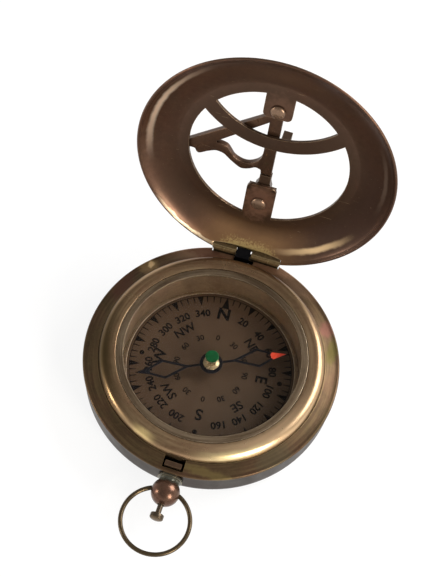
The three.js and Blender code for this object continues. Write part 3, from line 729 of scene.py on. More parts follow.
def lettering(bm, text, size, place, turn, low, high, heavy=0.0):
    """Text laid flat, centred on its place and turned, added to a mesh."""
    curve = bpy.data.curves.new("text", "FONT")
    curve.body = text
    curve.size = size * MM
    curve.align_x = "CENTER"
    curve.align_y = "CENTER"
    curve.extrude = (high - low) / 2 * MM
    curve.offset = heavy * MM
    curve.resolution_u = 3
    written = settle(add_object("text", curve))
    written.data.transform(shift(*place, (low + high) / 2) @ spin(turn, "Z"))
    bm.from_mesh(written.data)
    bpy.data.objects.remove(written)


def dial_text(bm, text, angle, style, low, high):
    """Lettering that stands upright toward the rim. The style is its radius, size and extra weight."""
    radius, size, heavy = style
    lettering(bm, text, size, polar(radius, angle), angle - math.pi / 2, low, high, heavy)


def dial_plate():
    plate = turned("dial_plate_body", disc_outline(dial_radius, dial_bottom, dial_top))
    return dress(soften(plate, 0.05), dial_metal, "case", "etched_dial", "dial_plate")


def compass_angle(degrees):
    """Direction of a bearing on the dial, as an angle from +X."""
    return math.pi / 2 + dial_turn - math.radians(degrees)


def dial_marks():
    bm = bmesh.new()
    low, high = dial_top, dial_top + mark_height
    circle_line(bm, scale_radius, line_width, low, high)
    for degrees in range(0, 360, 5):
        angle = compass_angle(degrees)
        if degrees % 20:
            inner = scale_radius - tick_length
            spoke(bm, angle, inner, scale_radius, line_width / 2, line_width, low, high)
        elif degrees % 90:
            spoke(bm, angle, scale_radius - wedge_length, scale_radius, point_half, wedge_half, low, high)
            dial_text(bm, str(degrees), angle, degree_text, low, high)
    for degrees, letter in ((90, "E"), (180, "S"), (270, "W")):
        angle = compass_angle(degrees)
        dial_text(bm, letter, angle, letter_text, low, high)
        x, y = polar(dot_place, angle)
        flat_mark(bm, arc((x, y), (dot_radius, dot_radius), 0, 342, 19), low, high)
    for degrees, letters in ((45, "NE"), (135, "SE"), (225, "SW"), (315, "NW")):
        dial_text(bm, letters, compass_angle(degrees), quarter_text, low, high)
    for degrees in range(0, 360, 30):
        bearing = min(degrees % 180, 180 - degrees % 180)
        dial_text(bm, str(bearing), compass_angle(degrees), quadrant_text, low, high)
    north = compass_angle(0)
    dial_text(bm, "N", north, north_text, low, high)
    spoke(bm, north, north_arrow_base, north_arrow_tip, north_arrow_half, point_half, low, high)
    return dress(piece_from(bm, "dial_marks"), black_fill, "case", "etched_dial")


dial_plate()
dial_marks()

# Dial ring
# A thin ring turned from brass, which lies on the edge of the dial in the bore of the bowl.
dial_ring_width = 1.1
dial_ring_height = 0.5

# Rubbed edges, made bright enough that they are also painted highlight lines along the edges of the rings.
ring_brass = brass("ring_brass", (0.14, 0.095, 0.056), (0.085, 0.056, 0.034), (0.95, 0.75, 0.5), patch=7,
                   rings=0.3, wear=0.9, streaks=0.12)


def dial_ring():
    ring = turned("dial_ring_body", ring_outline(
        dial_radius - dial_ring_width, dial_radius, dial_top, dial_top + dial_ring_height))
    return dress(soften(ring, 0.12), ring_brass, "case", "polished_brass", "dial_ring")


dial_ring()

# Pivot and needle
# A brass pin stands on the dial. The blackened needle opens into a diamond on each side, and one end is
# red. A dark disc and a tall brass cap with a green top sit on its middle.
needle_rise = 3.1
needle_thickness = 0.25
needle_half_length = 22.4
needle_line = 0.7
needle_start = 7
needle_wide = 14
needle_half_width = 3.1
needle_inside_start = 8
needle_inside_half = 2.35
arrow_start = 18.4
arrow_half = 1.1
diamond_tip_gap = 0.3
diamond_tip_share = 0.5
paint_thickness = 0.02
paint_back = 0.5
paint_back_share = 0.55
needle_angle = math.radians(25.9)
hub_radius = 3.4
hub_thickness = 0.3
cap_foot_radius = 2.4
cap_foot_height = 0.6
cap_neck_radius = 1.4
cap_top_radius = 2
cap_height = 4.6
cap_flare = 1.4
cap_bore = 0.9
cap_roof = 0.7
jewel_thickness = 0.35
jewel_edge = 0.1
jewel_shoulder = (0.15, 0.08)
jewel_flat_inset = 0.5
pin_foot_radius = 1.3
pin_foot_height = 0.4
pin_radius = 0.4
pin_taper = 1.4
pin_steps = 48
needle_low = dial_top + needle_rise
needle_high = needle_low + needle_thickness
hub_high = needle_high + hub_thickness
cap_high = hub_high + cap_height


def add_loop(curve, points, closed=True):
    spline = curve.splines.new("POLY")
    spline.points.add(len(points) - 1)
    for point, (x, y) in zip(spline.points, points):
        point.co = (x * MM, y * MM, 0, 1)
    spline.use_cyclic_u = closed


def flat_piece(name, loops, low, high, edge, place=None):
    """A flat piece sawn from sheet: closed outlines in millimetres, the first one outside."""
    curve = bpy.data.curves.new(name, "CURVE")
    curve.dimensions = "2D"
    curve.fill_mode = "BOTH"
    curve.extrude = ((high - low) / 2 - edge) * MM
    curve.bevel_depth = edge * MM
    curve.bevel_resolution = 1
    curve.offset = -edge * MM
    for loop in loops:
        add_loop(curve, loop)
    piece = settle(add_object(name, curve))
    piece.data.transform(shift(0, 0, (low + high) / 2))
    bm = bmesh.new()
    bm.from_mesh(piece.data)
    bmesh.ops.remove_doubles(bm, verts=bm.verts, dist=0.00001 * MM)
    bm.to_mesh(piece.data)
    bm.free()
    if place is not None:
        piece.matrix_world = place
    smooth(piece)
    return piece


def plain_finish(name, first, second, size, rough, metallic, coat=0.0, shine=0.25):
    material, tree = new_material(name)
    place = in_millimetres(tree)
    cloud = clouds(tree, place, size, 0.2)
    fine = clouds(tree, place, size / 8, 0.15)
    colour = blend_colour(tree, cloud, first, second)
    rough_mask = spread(tree, fine, rough[0], rough[1])
    bump = put(tree, "Bump", {"Height": fine, "Strength": 0.25, "Distance": 0.00002})
    principled(tree, {
        "Base Color": colour, "Metallic": metallic, "Roughness": rough_mask, "Coat Weight": coat,
        "Normal": bump.outputs[0], "Specular IOR Level": shine})
    return material


black_steel = plain_finish("black_steel", (0.003, 0.003, 0.004), (0.01, 0.01, 0.012), 2.0, (0.35, 0.5),
                           0.3, shine=0.08)
red_paint = plain_finish("red_paint", (0.5, 0.03, 0.012), (0.68, 0.07, 0.025), 1.0, (0.3, 0.42), 0.0, 0.2)
green_enamel = plain_finish("green_enamel", (0.0, 0.012, 0.003), (0.001, 0.06, 0.014), 0.5, (0.3, 0.5),
                            0.0, shine=0.12)
cap_brass = brass("cap_brass", (0.36, 0.27, 0.15), (0.2, 0.15, 0.08), (0.6, 0.48, 0.3), patch=2,
                  rough=(0.2, 0.32), wear=0.5)


def needle_outline(side):
    """Outline of one half of the needle from its root round the point and back."""
    half = needle_line / 2
    points = [
        (needle_start, -half), (needle_wide, -needle_half_width), (arrow_start, -arrow_half),
        (needle_half_length, 0), (arrow_start, arrow_half), (needle_wide, needle_half_width),
        (needle_start, half)]
    return [(side * x, side * y) for x, y in points]


def diamond(side):
    tip, half = arrow_start - diamond_tip_gap, arrow_half * diamond_tip_share
    points = [(needle_inside_start, 0), (needle_wide, needle_inside_half), (tip, half), (tip, -half),
              (needle_wide, -needle_inside_half)]
    return [(side * x, y) for x, y in points]


def needle():
    turn = spin(needle_angle, "Z")
    outlines = [needle_outline(1) + needle_outline(-1), diamond(1), diamond(-1)]
    blade = flat_piece("needle_blade_body", outlines, needle_low, needle_high, 0.06, turn)
    dress(blade, black_steel, "needle", "blued_steel", "needle_blade")
    wide = arrow_half + paint_thickness
    back, narrow = arrow_start - paint_back, paint_back_share * wide
    tip = [(back, -narrow), (arrow_start, -wide), (needle_half_length + paint_thickness, 0),
           (arrow_start, wide), (back, narrow)]
    paint = flat_piece("needle_paint", [tip], needle_low - paint_thickness, needle_high + paint_thickness,
                       0, turn)
    dress(paint, red_paint, "needle", "blued_steel")
    hub = turned("needle_hub_body", ring_outline(cap_bore, hub_radius, needle_high, hub_high), knob_steps)
    dress(soften(hub, 0.08), black_steel, "needle", "blued_steel", "needle_hub")
    jewel_seat = cap_high - jewel_thickness
    cap = turned("needle_cap_body", [
        (0, jewel_seat - cap_roof), (cap_bore, jewel_seat - cap_roof), (cap_bore, hub_high),
        (cap_foot_radius, hub_high), (cap_foot_radius, hub_high + cap_foot_height / 2),
        (cap_neck_radius, hub_high + cap_foot_height), (cap_neck_radius, cap_high - cap_flare),
        (cap_top_radius, cap_high - cap_flare / 2), (cap_top_radius, jewel_seat), (0, jewel_seat)],
        knob_steps)
    dress(soften(cap, 0.12, 3), cap_brass, "needle", "polished_brass", "needle_cap")
    jewel = turned("cap_jewel_body", [
        (0, jewel_seat), (cap_top_radius, jewel_seat), (cap_top_radius, jewel_seat + jewel_edge),
        (cap_top_radius - jewel_shoulder[0], cap_high - jewel_shoulder[1]),
        (cap_top_radius - jewel_flat_inset, cap_high), (0, cap_high)], knob_steps)
    smooth(jewel)
    dress(jewel, green_enamel, "needle", "green_jewel", "cap_jewel")


def pivot_pin():
    point = cap_high - jewel_thickness - cap_roof - fit_gap
    foot_top = dial_top + pin_foot_height
    pin = turned("pivot_pin_body", [
        (0, dial_top), (pin_foot_radius, dial_top), (pin_foot_radius, foot_top), (pin_radius, foot_top),
        (pin_radius, point - pin_taper), (0, point)], pin_steps)
    return dress(soften(pin, 0.06), cap_brass, "case", "polished_brass", "pivot_pin")


pivot_pin()
needle()

# Glass and its ring
# A flat glass disc lies on the bowl's land. A flat brass ring holds it down inside the bezel.
glass_ring_inner = 25.8


def clear_glass():
    material, tree = new_material("clear_glass")
    place = in_millimetres(tree)
    smear = clouds(tree, place, 8.0, 0.25)
    rough = spread(tree, smear, 0.0, 0.012)
    shader = put(tree, "BsdfPrincipled", {
        "Base Color": white, "Roughness": rough, "IOR": 1.12, "Transmission Weight": 1.0})
    clear = put(tree, "BsdfTransparent")
    shadow = put(tree, "LightPath").outputs["Is Shadow Ray"]
    mix = put(tree, "MixShader", {0: shadow, 1: shader.outputs[0], 2: clear.outputs[0]})
    put(tree, "OutputMaterial", {0: mix.outputs[0]})
    return material


def glass_and_ring():
    outer = bezel_inner_radius - slip
    glass = turned("glass_disc", disc_outline(outer, glass_bottom, glass_top))
    dress(soften(glass, 0.1), clear_glass(), "case", "window_glass", "glass")
    ring = turned("glass_ring_body", ring_outline(glass_ring_inner, outer, glass_top, glass_ring_top))
    dress(soften(ring, 0.14), ring_brass, "case", "polished_brass", "glass_ring")


glass_and_ring()

# Bezel
# A full round ring turned from brass and polished, steep outside and nearly flat inside.
bezel_outer_radius = flange_inner_radius - slip
bezel_foot = rim_height + 0.95
bezel_crest = rim_height + 3.5
bezel_crest_radius = 30.2
bezel_inner_height = rim_height + 3.3


def rim_streak(middle, half, radius, width, strength):
    """A streak that follows a round edge, about a bearing in degrees."""
    def shape(tree, place):
        x, y = across_of(tree, place)
        away = minus(tree, calc(tree, "ARCTAN2", y, x), math.radians(middle))
        away = calc(tree, "ABSOLUTE", calc(tree, "WRAP", away, math.pi, -math.pi))
        along = fade(tree, away, math.radians(half), 0.0, kind="SMOOTHSTEP")
        out = wandering(tree, reach_of(tree, x, y), noise_at(tree, place, 0.35, 3.0), 0.8)
        off = calc(tree, "ABSOLUTE", minus(tree, out, radius))
        across = fade(tree, off, width, width * 0.25, kind="SMOOTHSTEP")
        return times(tree, times(tree, along, across), strength)
    return shape


bezel_brass = brass("bezel_brass", (0.4, 0.265, 0.14), (0.22, 0.145, 0.08), (0.7, 0.5, 0.28), patch=11,
                    rough=(0.22, 0.36), rings=0.5, scratches=0.3, stain=(0.3, 0.145, 0.09), lacquer=0.1,
                    streaks=0.4, spots=[
                        # Painted shade: darker streaks on the outer slope of the bezel, at the left and at
                        # the back.
                        (rim_streak(198, 68, 32.2, 5, 0.92), (0.075, 0.05, 0.02)),
                        (rim_streak(90, 55, 32.8, 2, 0.7), (0.12, 0.07, 0.05)),
                        # Painted highlights: gold streaks low on the right and low on the left of the
                        # bezel.
                        (rim_streak(-42, 52, 30.6, 3.6, 0.75), (0.85, 0.58, 0.34)),
                        (rim_streak(-62, 26, 31.8, 1.6, 0.9), (1.0, 0.8, 0.42)),
                        (rim_streak(-111, 9, 31.6, 1.4, 0.9), (1.0, 0.75, 0.34))])


def bezel():
    rise = bezel_crest - bezel_foot
    inner_rise = bezel_inner_height - bezel_foot
    run = bezel_crest_radius - bezel_inner_radius
    inner_half = run / math.sqrt(1 - (inner_rise / rise) ** 2)
    inner_end = math.degrees(math.acos(-run / inner_half))
    ring = turned("bezel_body", [
        (bezel_inner_radius, bezel_bottom), (bezel_outer_radius, bezel_bottom),
        *arc((bezel_crest_radius, bezel_foot), (bezel_outer_radius - bezel_crest_radius, rise), 0, 90, 18),
        *arc((bezel_crest_radius, bezel_foot), (inner_half, rise), 90, inner_end, 8)[1:],
        (bezel_inner_radius, bezel_bottom)])
    return dress(soften(ring, 0.12), bezel_brass, "case", "polished_brass", "bezel")


bezel()

# Lid hinge
# Four short brass barrels on one steel pin. The outer two stand on the case wall, the inner two are
# soldered to the lid. The gap in the middle is for the lift spring.
hinge_axis_z = rim_height + 0.93
hinge_pin_radius = 0.45
knuckle_length = 3.25
running_gap = 0.06
barrel_steps = 40
barrel_bore = hinge_pin_radius + fit_gap
tongue_left = 3.22
tongue_right = 1.53
lid_open_angle = math.radians(103.2)

hinge_brass = brass("hinge_brass", (0.28, 0.19, 0.088), (0.085, 0.056, 0.028), (0.55, 0.4, 0.19),
                    patch=0.8, rough=(0.35, 0.55), lacquer=0.4)

hinge_at = shift(0, hinge_axis_y, hinge_axis_z)
along_hinge = hinge_at @ spin(math.pi / 2, "Y")
lid_swing = hinge_at @ spin(-lid_open_angle, "X") @ hinge_at.inverted()


def barrel(name, left, right):
    """A hollow barrel on the hinge axis, between two places along it."""
    outline = ring_outline(barrel_bore, hinge_barrel_radius, left, right)
    return turned(name, outline, barrel_steps, along_hinge)


def case_knuckle(name, left, right, node):
    knuckle = barrel(name, left, right)
    low = rim_height - flange_thickness
    foot = brick("foot", (left, case_radius - case_wall + slip, low), (right, case_radius, hinge_axis_z))
    weld_on(knuckle, foot)
    bore = disc_outline(barrel_bore, left - 1, right + 1)
    carve(knuckle, turned("bore", bore, barrel_steps, along_hinge))
    return dress(soften(knuckle, 0.12), hinge_brass, "case", "aged_brass", node)


def hinge():
    end = hinge_length / 2
    case_knuckle("case_knuckle_left_body", -end, knuckle_length - end, "case_knuckle_left")
    case_knuckle("case_knuckle_right_body", end - knuckle_length, end, "case_knuckle_right")
    pin = turned("hinge_pin_body", disc_outline(hinge_pin_radius, -end, end), hole_steps, along_hinge)
    dress(soften(pin, 0.1), black_steel, "case", "blued_steel", "hinge_pin")
    left = barrel("lid_knuckle_left_body", knuckle_length + running_gap - end, -tongue_left)
    dress(soften(left, 0.07), hinge_brass, "lid", "aged_brass", "lid_knuckle_left")
    right = barrel("lid_knuckle_right_body", tongue_right, end - knuckle_length - running_gap)
    dress(soften(right, 0.07), hinge_brass, "lid", "aged_brass", "lid_knuckle_right")


hinge()

# Solder on the hinge
# A lumpy seam of solder joins the inner barrels to the lid, with a rolled strip behind them and a plug
# beyond each end of the hinge. A bed of solder carries the outer barrels on the case wall.
solder_from = 98
solder_to = 212
solder_inner = 1.16
solder_outer = 1.62
solder_lip = 1.3
solder_step = 0.16
solder_sides = 8
lip_from = 140
lip_fade = 26
bed_stations = 90
bed_sink = 0.3
bed_round = 0.4
hinge_bed_low = 10.8
notch_end = 10.55
strip_from = -10
strip_turn = 105
strip_step = 0.15
strip_thickness = 0.14
strip_gap = 0.03
plug_radius = 0.85
solder_colour = brass("solder_crust", (0.2, 0.14, 0.065), (0.06, 0.042, 0.024), (0.45, 0.34, 0.18),
                      patch=0.9, rough=(0.4, 0.6), wear=0.9, swung=lid_swing, lacquer=0.5)
bed_colour = brass("bed_crust", (0.12, 0.085, 0.04), (0.045, 0.032, 0.018), (0.3, 0.22, 0.12), patch=0.9,
                   rough=(0.4, 0.6), wear=0.9)


def about_hinge(x, radius, angle):
    return (x, hinge_axis_y + radius * math.cos(angle), hinge_axis_z + radius * math.sin(angle))


def between(left, right, count):
    return [left + (right - left) * i / count for i in range(count + 1)]


def solder(name, left, right):
    """A lumpy seam of solder between the lid and the barrels, before the lid is swung open."""
    stations = max(4, round((right - left) / solder_step))
    bm = bmesh.new()
    loops = []
    for i, x in enumerate(between(left, right, stations)):
        end = min(i, stations - i, 3) / 3
        loop = []
        for k, degrees in enumerate(between(solder_from, solder_to, solder_sides)):
            lump = noise.noise(Vector((x * 1.7, k * 0.5, left)))
            lump += 0.5 * noise.noise(Vector((x * 4.3, k * 0.9, left)))
            beyond = max(0, min(1, (degrees - lip_from) / lip_fade))
            reach = solder_outer + (solder_lip - solder_outer) * beyond
            radius = reach * (0.93 + 0.07 * end) + 0.16 * lump * (1 - 0.6 * beyond)
            loop.append(about_hinge(x, radius, math.radians(degrees)))
        inside = between(solder_to, solder_from, solder_sides)[1::2]
        loops.append(loop + [about_hinge(x, solder_inner, math.radians(degrees)) for degrees in inside])
    close_skin(bm, loops)
    seam = piece_from(bm, name, lid_swing)
    smooth(seam, 70)
    return dress(seam, solder_colour, "lid", "aged_brass")


def hinge_bed():
    """Solder under the barrels, which carries the hinge on the case wall."""
    half = hinge_length / 2
    top = hinge_axis_z - hinge_barrel_radius - fit_gap
    bm = bmesh.new()
    loops = []
    for x in between(-half, half, bed_stations):
        wall = math.sqrt((case_radius - bed_sink) ** 2 - x * x)
        back = hinge_axis_y + 0.75 + 0.12 * noise.noise(Vector((x * 1.3, 4, 0)))
        back = max(back, wall + bed_round)
        lump = 0.1 * noise.noise(Vector((x * 2.1, 0, 7)))
        front = min(wall - 0.7, hinge_axis_y - hinge_barrel_radius)
        outline = [
            (front, rim_height - flange_thickness), (wall, hinge_bed_low),
            (wall + 0.35, hinge_bed_low + 0.15), (back - 0.25, top - 0.75), (back, top - bed_round + lump),
            (back - 0.2, top - 0.1 + lump), (back - 0.6, top), (front, top)]
        loops.append([(x, y, z) for y, z in outline])
    close_skin(bm, loops)
    bed = piece_from(bm, "hinge_bed")
    smooth(bed, 60)
    return dress(bed, bed_colour, "case", "aged_brass")


def hinge_plug(name, near, far):
    """A short solder plug between the end of a barrel and the lid."""
    plug = turned(name, disc_outline(plug_radius, min(near, far), max(near, far)), hole_steps, along_hinge)
    return dress(soften(plug, 0.2, 3), solder_colour, "lid", "aged_brass")


def hinge_strip(name, left, right):
    """The rolled strip behind a barrel of the lid, with solder run over it."""
    bm = bmesh.new()
    loops = []
    angles = [math.radians(degrees) for degrees in between(strip_from, strip_from + strip_turn, 8)]
    for x in between(left, right, round((right - left) / strip_step)):
        loop = []
        for k, angle in enumerate(angles):
            lump = 0.05 * noise.noise(Vector((x * 2.3, k * 0.6, 3)))
            loop.append(about_hinge(x, hinge_barrel_radius + strip_thickness + lump, angle))
        inner = hinge_barrel_radius + strip_gap
        loops.append(loop + [about_hinge(x, inner, angle) for angle in angles[::-1]])
    close_skin(bm, loops)
    strip = piece_from(bm, name, lid_swing)
    smooth(strip, 60)
    return dress(strip, solder_colour, "lid", "aged_brass")


solder("solder_left", -notch_end, -tongue_left)
solder("solder_right", tongue_right, notch_end)
hinge_bed()
strip_end = hinge_length / 2 - knuckle_length - 2 * running_gap
hinge_strip("hinge_strip_left", -strip_end, -tongue_left)
hinge_strip("hinge_strip_right", tongue_right, strip_end)
hinge_plug("hinge_plug_left", -hinge_length / 2 - running_gap, -notch_end)
hinge_plug("hinge_plug_right", hinge_length / 2 + running_gap, notch_end)

# Lid
# Pressed from one brass sheet: a flat face, a full round rim, and a round window that is sawn out so that
# two tabs and a curved band stay. Dark brown, with a soft shine. It is drawn shut and then swung open.
lid_radius = 37.85
lid_lip = 0.9
lid_face_radius = 26.5
lid_inner = rim_height + 4.85
lid_thickness = 0.9
lid_outer = lid_inner + lid_thickness
lid_lip_bottom = rim_height + fit_gap
hinge_notch_half = 10.6
window_radius = 23.53
tab_corner = 1.6
top_tab = (8.9, 11)
low_tab = (8.4, -15.1)
band_upper = (28.7, -32.3)
band_lower = (23.6, -31.5)
top_rivet_y = 17.9
low_rivet_y = -17.7
rivet_shank = 0.9
slope_roundness = 1.33


def near_hinge(tree, place):
    """Painted sheen, paler toward the hinge, fading out half way up the lid."""
    x, y = across_of(tree, place)
    along = plus(tree, y, times(tree, noise_at(tree, place, 0.12, 4.0, 0.6), 24.0))
    near = fade(tree, along, 26.0, 46.0, 0.9)
    return times(tree, near, fade(tree, calc(tree, "ABSOLUTE", x), 20.0, 6.0))


def flat_part(tree, place):
    """The flat face, painted darker than the slope: painted shade."""
    return fade(tree, reach_of(tree, *across_of(tree, place)), 31.0, 24.5, 0.7)


def crust(tree, place):
    """Specks of solder and yellow lacquer close to the hinge."""
    x, y = across_of(tree, place)
    near = times(tree, fade(tree, y, 30.5, 35.5), fade(tree, calc(tree, "ABSOLUTE", x), 12.0, 6.0))
    grains = plus(tree, noise_at(tree, place, 1.6, 6.0, 0.75), times(tree, near, 0.45))
    grains = fade(tree, grains, 0.68, 0.85, 0.9)
    return times(tree, grains, fade(tree, near, 0.05, 0.4))


lid_brass = brass("lid_brass", (0.125, 0.072, 0.045), (0.075, 0.043, 0.028), (0.42, 0.29, 0.17), patch=13,
                  rough=(0.26, 0.4), rings=0.12, scratches=0.42, wear=0.7, stain=(0.12, 0.048, 0.03),
                  swung=lid_swing, lacquer=0.3, spots=[
                      # Painted shade: the right side of the lid is darker.
                      (rim_streak(20, 80, 32, 9, 0.78), (0.05, 0.028, 0.02)),
                      (rim_streak(140, 40, 31, 6, 0.75), (0.06, 0.034, 0.02)),
                      (rim_streak(272, 34, 31, 4, 0.4), (0.18, 0.105, 0.068)),
                      # Painted sheen toward the hinge, and painted shade on the flat face.
                      (near_hinge, (0.23, 0.126, 0.056)), (flat_part, (0.05, 0.029, 0.018)),
                      # Painted highlights: a pale crescent on the left slope, a gold crescent on the right
                      # slope toward the hinge, a bright line on the lip left of the hinge and a faint
                      # light line on the right slope.
                      (rim_streak(200, 40, 34.6, 1.2, 1.0), (0.85, 0.66, 0.5)),
                      (rim_streak(55, 26, 34.2, 1.2, 0.95), (0.75, 0.52, 0.28)),
                      (rim_streak(122, 24, 36.9, 0.5, 0.9), (0.85, 0.68, 0.46)),
                      (rim_streak(350, 26, 34.3, 0.9, 0.4), (0.3, 0.22, 0.17)), (crust, (0.42, 0.3, 0.12)),
                      (blotch(0, 17.5, 5, 6.5, 0.75), (0.27, 0.14, 0.09)),
                      (blotch(0, -17.5, 5, 6, 0.6), (0.14, 0.075, 0.048))])


cutter_turn = spin(0.0043, "Z")


def tab_outline(width, end, root):
    """A tab with rounded corners, from its free end to its root."""
    half = width / 2
    side = math.copysign(1, root - end)
    corner = [(half - tab_corner + x, end + side * (tab_corner - y))
              for x, y in arc((0, 0), (tab_corner, tab_corner), 90, 0, 8)]
    return [(half, root), *corner[::-1], *[(-x, y) for x, y in corner], (-half, root)]


def window_tool():
    """The window's cutter, turned a little so that none of its edges lies on an edge of the sheet."""
    low, high = lid_inner - reach_past, lid_outer + reach_past
    tool = turned("window_tool", disc_outline(window_radius, low, high), round_steps, cutter_turn)
    upper, lower = shift(0, band_upper[1], 0), shift(0, band_lower[1], 0)
    band = turned("band", disc_outline(band_upper[0], low - 1, high + 1), round_steps, upper)
    inside = disc_outline(band_lower[0], low - 2, high + 2)
    carve(band, turned("band_inside", inside, round_steps - 7, lower))
    root = window_radius + reach_past
    tabs = [flat_piece("tab", [outline], low - 1, high + 1, 0)
            for outline in (tab_outline(*top_tab, root), tab_outline(*low_tab, -root))]
    carve(tool, band, *tabs)
    return tool


def lid_slope(half_width, half_height):
    """Slope from the lip to the flat face, rounded at both ends."""
    turns = [math.pi / 2 * i / 28 for i in range(29)]
    return [(lid_face_radius + half_width * max(math.cos(a), 0) ** slope_roundness,
             lid_lip_bottom + half_height * math.sin(a) ** slope_roundness) for a in turns]


def lid_shell():
    rise = lid_inner - lid_lip_bottom
    inside = lid_slope(lid_radius - lid_lip - lid_face_radius, rise)
    outside = lid_slope(lid_radius - lid_face_radius, rise + lid_thickness)
    half = lid_lip / 2
    lip = arc((lid_radius - half, lid_lip_bottom + half), (half, half), -180, 0, 10)
    inside = [p for p in inside[::-1] if p[1] > lid_lip_bottom + half]
    outside = [p for p in outside if p[1] > lid_lip_bottom + half]
    shell = turned("lid_body", [(0, lid_inner), *inside, *lip, *outside, (0, lid_outer)])
    notch_top = hinge_axis_z + hinge_barrel_radius + fit_gap
    notch_front = hinge_axis_y - hinge_barrel_radius - fit_gap
    notch = brick("notch", (-hinge_notch_half, notch_front, lid_lip_bottom - reach_past),
                  (hinge_notch_half, lid_radius + reach_past, notch_top))
    holes = [turned("rivet_hole", disc_outline(rivet_shank + fit_gap, lid_inner - 2, lid_outer + 2), 37,
                    shift(0, y, 0) @ cutter_turn) for y in (top_rivet_y, low_rivet_y)]
    carve(shell, window_tool(), notch, *holes)
    soften(shell, 0.1, 2, 60)
    shell.matrix_world = lid_swing
    return dress(shell, lid_brass, "lid", "dark_brass", "lid_shell")


lid_shell()

# Rivets and gnomon brackets
# A domed brass rivet through each tab holds the bracket behind it. The upper bracket ends in a neck with
# an eye for the gnomon's pivot. A small block stands on the band beside the gnomon.
rivet_dome_radius = 2.2
rivet_dome_height = 0.9
bracket_thickness = 1.2
ear_height = 2.3
bracket_low = lid_outer + fit_gap
gnomon_thickness = 1.8
gnomon_bar = (-1.5, 1.7)
gnomon_top_y = 7.5
gnomon_foot_y = -15.3
gnomon_axis_x = gnomon_bar[1] - gnomon_thickness / 2
gnomon_axis_z = lid_outer + 0.55 + gnomon_thickness / 2
trunnion_radius = 0.45
trunnion_length = 0.7
top_bracket_half = 4.1
top_bracket_end = 21.4
neck_front = 7.8
neck_right = 1.9
neck_flare_start = 10.5
neck_flare_end = 12.2
neck_half = 2.45
neck_back = 14.5
low_bracket_half = 3.8
low_bracket_end = -21.4
stop_near = (2.3, -7.6)
stop_far = (4.9, -4.3)
stop_height = 4

gnomon_axis = shift(gnomon_axis_x, 0, gnomon_axis_z) @ spin(math.pi / 2, "X")

fitting_brass = brass("fitting_brass", (0.12, 0.07, 0.043), (0.06, 0.035, 0.022), (0.4, 0.27, 0.16),
                      patch=3, rough=(0.25, 0.42), scratches=0.3)
rivet_brass = brass("rivet_brass", (0.3, 0.19, 0.125), (0.16, 0.1, 0.065), (0.7, 0.5, 0.33), patch=2,
                    rough=(0.22, 0.36))


def square_loop(near, far):
    return [near, (far[0], near[1]), far, (near[0], far[1])]


def rivet(name, y, top, node):
    dome_top = lid_inner - fit_gap
    dome = arc((0, dome_top), (rivet_dome_radius, rivet_dome_height), -90, 0, 10)
    dome[0] = (0, dome_top - rivet_dome_height)
    outline = [*dome, (rivet_shank, dome_top), (rivet_shank, top), (0, top)]
    stud = turned(name, outline, knob_steps, lid_swing @ shift(0, y, 0))
    return dress(soften(stud, 0.08), rivet_brass, "lid", "polished_brass", node)


def drill(piece, y, low, high):
    hole = disc_outline(rivet_shank + fit_gap, low, high)
    carve(piece, turned("drill", hole, hole_steps, shift(0, y, 0)))


def pivot_hole(piece, start, end):
    bore = disc_outline(trunnion_radius + fit_gap, -end, -start)
    carve(piece, turned("bore", bore, hole_steps, gnomon_axis))


def top_bracket():
    high = bracket_low + bracket_thickness
    plate_loop = square_loop((-top_bracket_half, neck_flare_end), (top_bracket_half, top_bracket_end))
    base = flat_piece("top_bracket_body", [plate_loop], bracket_low, high, 0.1)
    neck_loop = [
        (gnomon_bar[0], neck_front), (neck_right, neck_front), (neck_right, neck_flare_start),
        (neck_half, neck_flare_end), (neck_half, neck_back), (-neck_half, neck_back),
        (-neck_half, neck_flare_end), (gnomon_bar[0], neck_flare_start)]
    weld_on(base, flat_piece("neck", [neck_loop], bracket_low, bracket_low + ear_height, 0.1))
    pivot_hole(base, neck_front - reach_past, neck_front + trunnion_length + fit_gap)
    drill(base, top_rivet_y, bracket_low - 1, high + 1)
    base.matrix_world = lid_swing
    return dress(soften(base, 0.1), fitting_brass, "lid", "dark_brass", "top_bracket")


def low_bracket():
    front = gnomon_foot_y - fit_gap
    loop = square_loop((-low_bracket_half, low_bracket_end), (low_bracket_half, front))
    block = flat_piece("low_bracket_body", [loop], bracket_low, bracket_low + ear_height, 0.1)
    pivot_hole(block, front - trunnion_length - fit_gap, front + reach_past)
    drill(block, low_rivet_y, bracket_low - 1, bracket_low + ear_height + 1)
    block.matrix_world = lid_swing
    return dress(soften(block, 0.1), fitting_brass, "lid", "dark_brass", "low_bracket")


def stop_block():
    loop = square_loop(stop_near, stop_far)
    block = flat_piece("stop_block_body", [loop], bracket_low, bracket_low + stop_height, 0.2)
    block.matrix_world = lid_swing
    return dress(block, fitting_brass, "lid", "dark_brass", "stop_block")


rivet("top_rivet_body", top_rivet_y, bracket_low + bracket_thickness, "top_rivet")
rivet("low_rivet_body", low_rivet_y, bracket_low + ear_height, "low_rivet")
top_bracket()
low_bracket()
stop_block()

# Gnomon
# Sawn from thick brass plate: a bar along the noon line, a straight style at 52 degrees and an S-shaped
# strut that joins its tip to the bar. A trunnion at each end of the bar turns in the brackets.
gnomon_reach = 27.4
style_foot_y = -16.4
style_angle = math.radians(52)
style_width = 2.4
style_tip_width = 3.3
strut_top_shares = [
    (0.062, 0.229), (0.117, 0.215), (0.172, 0.247), (0.223, 0.27), (0.274, 0.277), (0.328, 0.252),
    (0.405, 0.201), (0.471, 0.15), (0.522, 0.135), (0.573, 0.135), (0.653, 0.175), (0.73, 0.226),
    (0.768, 0.222), (0.796, 0.182), (0.861, 0.182)]
strut_inner_shares = [
    (0.069, -0.033), (0.08, 0.06), (0.117, 0.124), (0.18, 0.172), (0.237, 0.19), (0.299, 0.182),
    (0.365, 0.15), (0.405, 0.099), (0.456, 0.04), (0.53, 0.02), (0.575, 0.022)]
strut_tip_share = 0.182

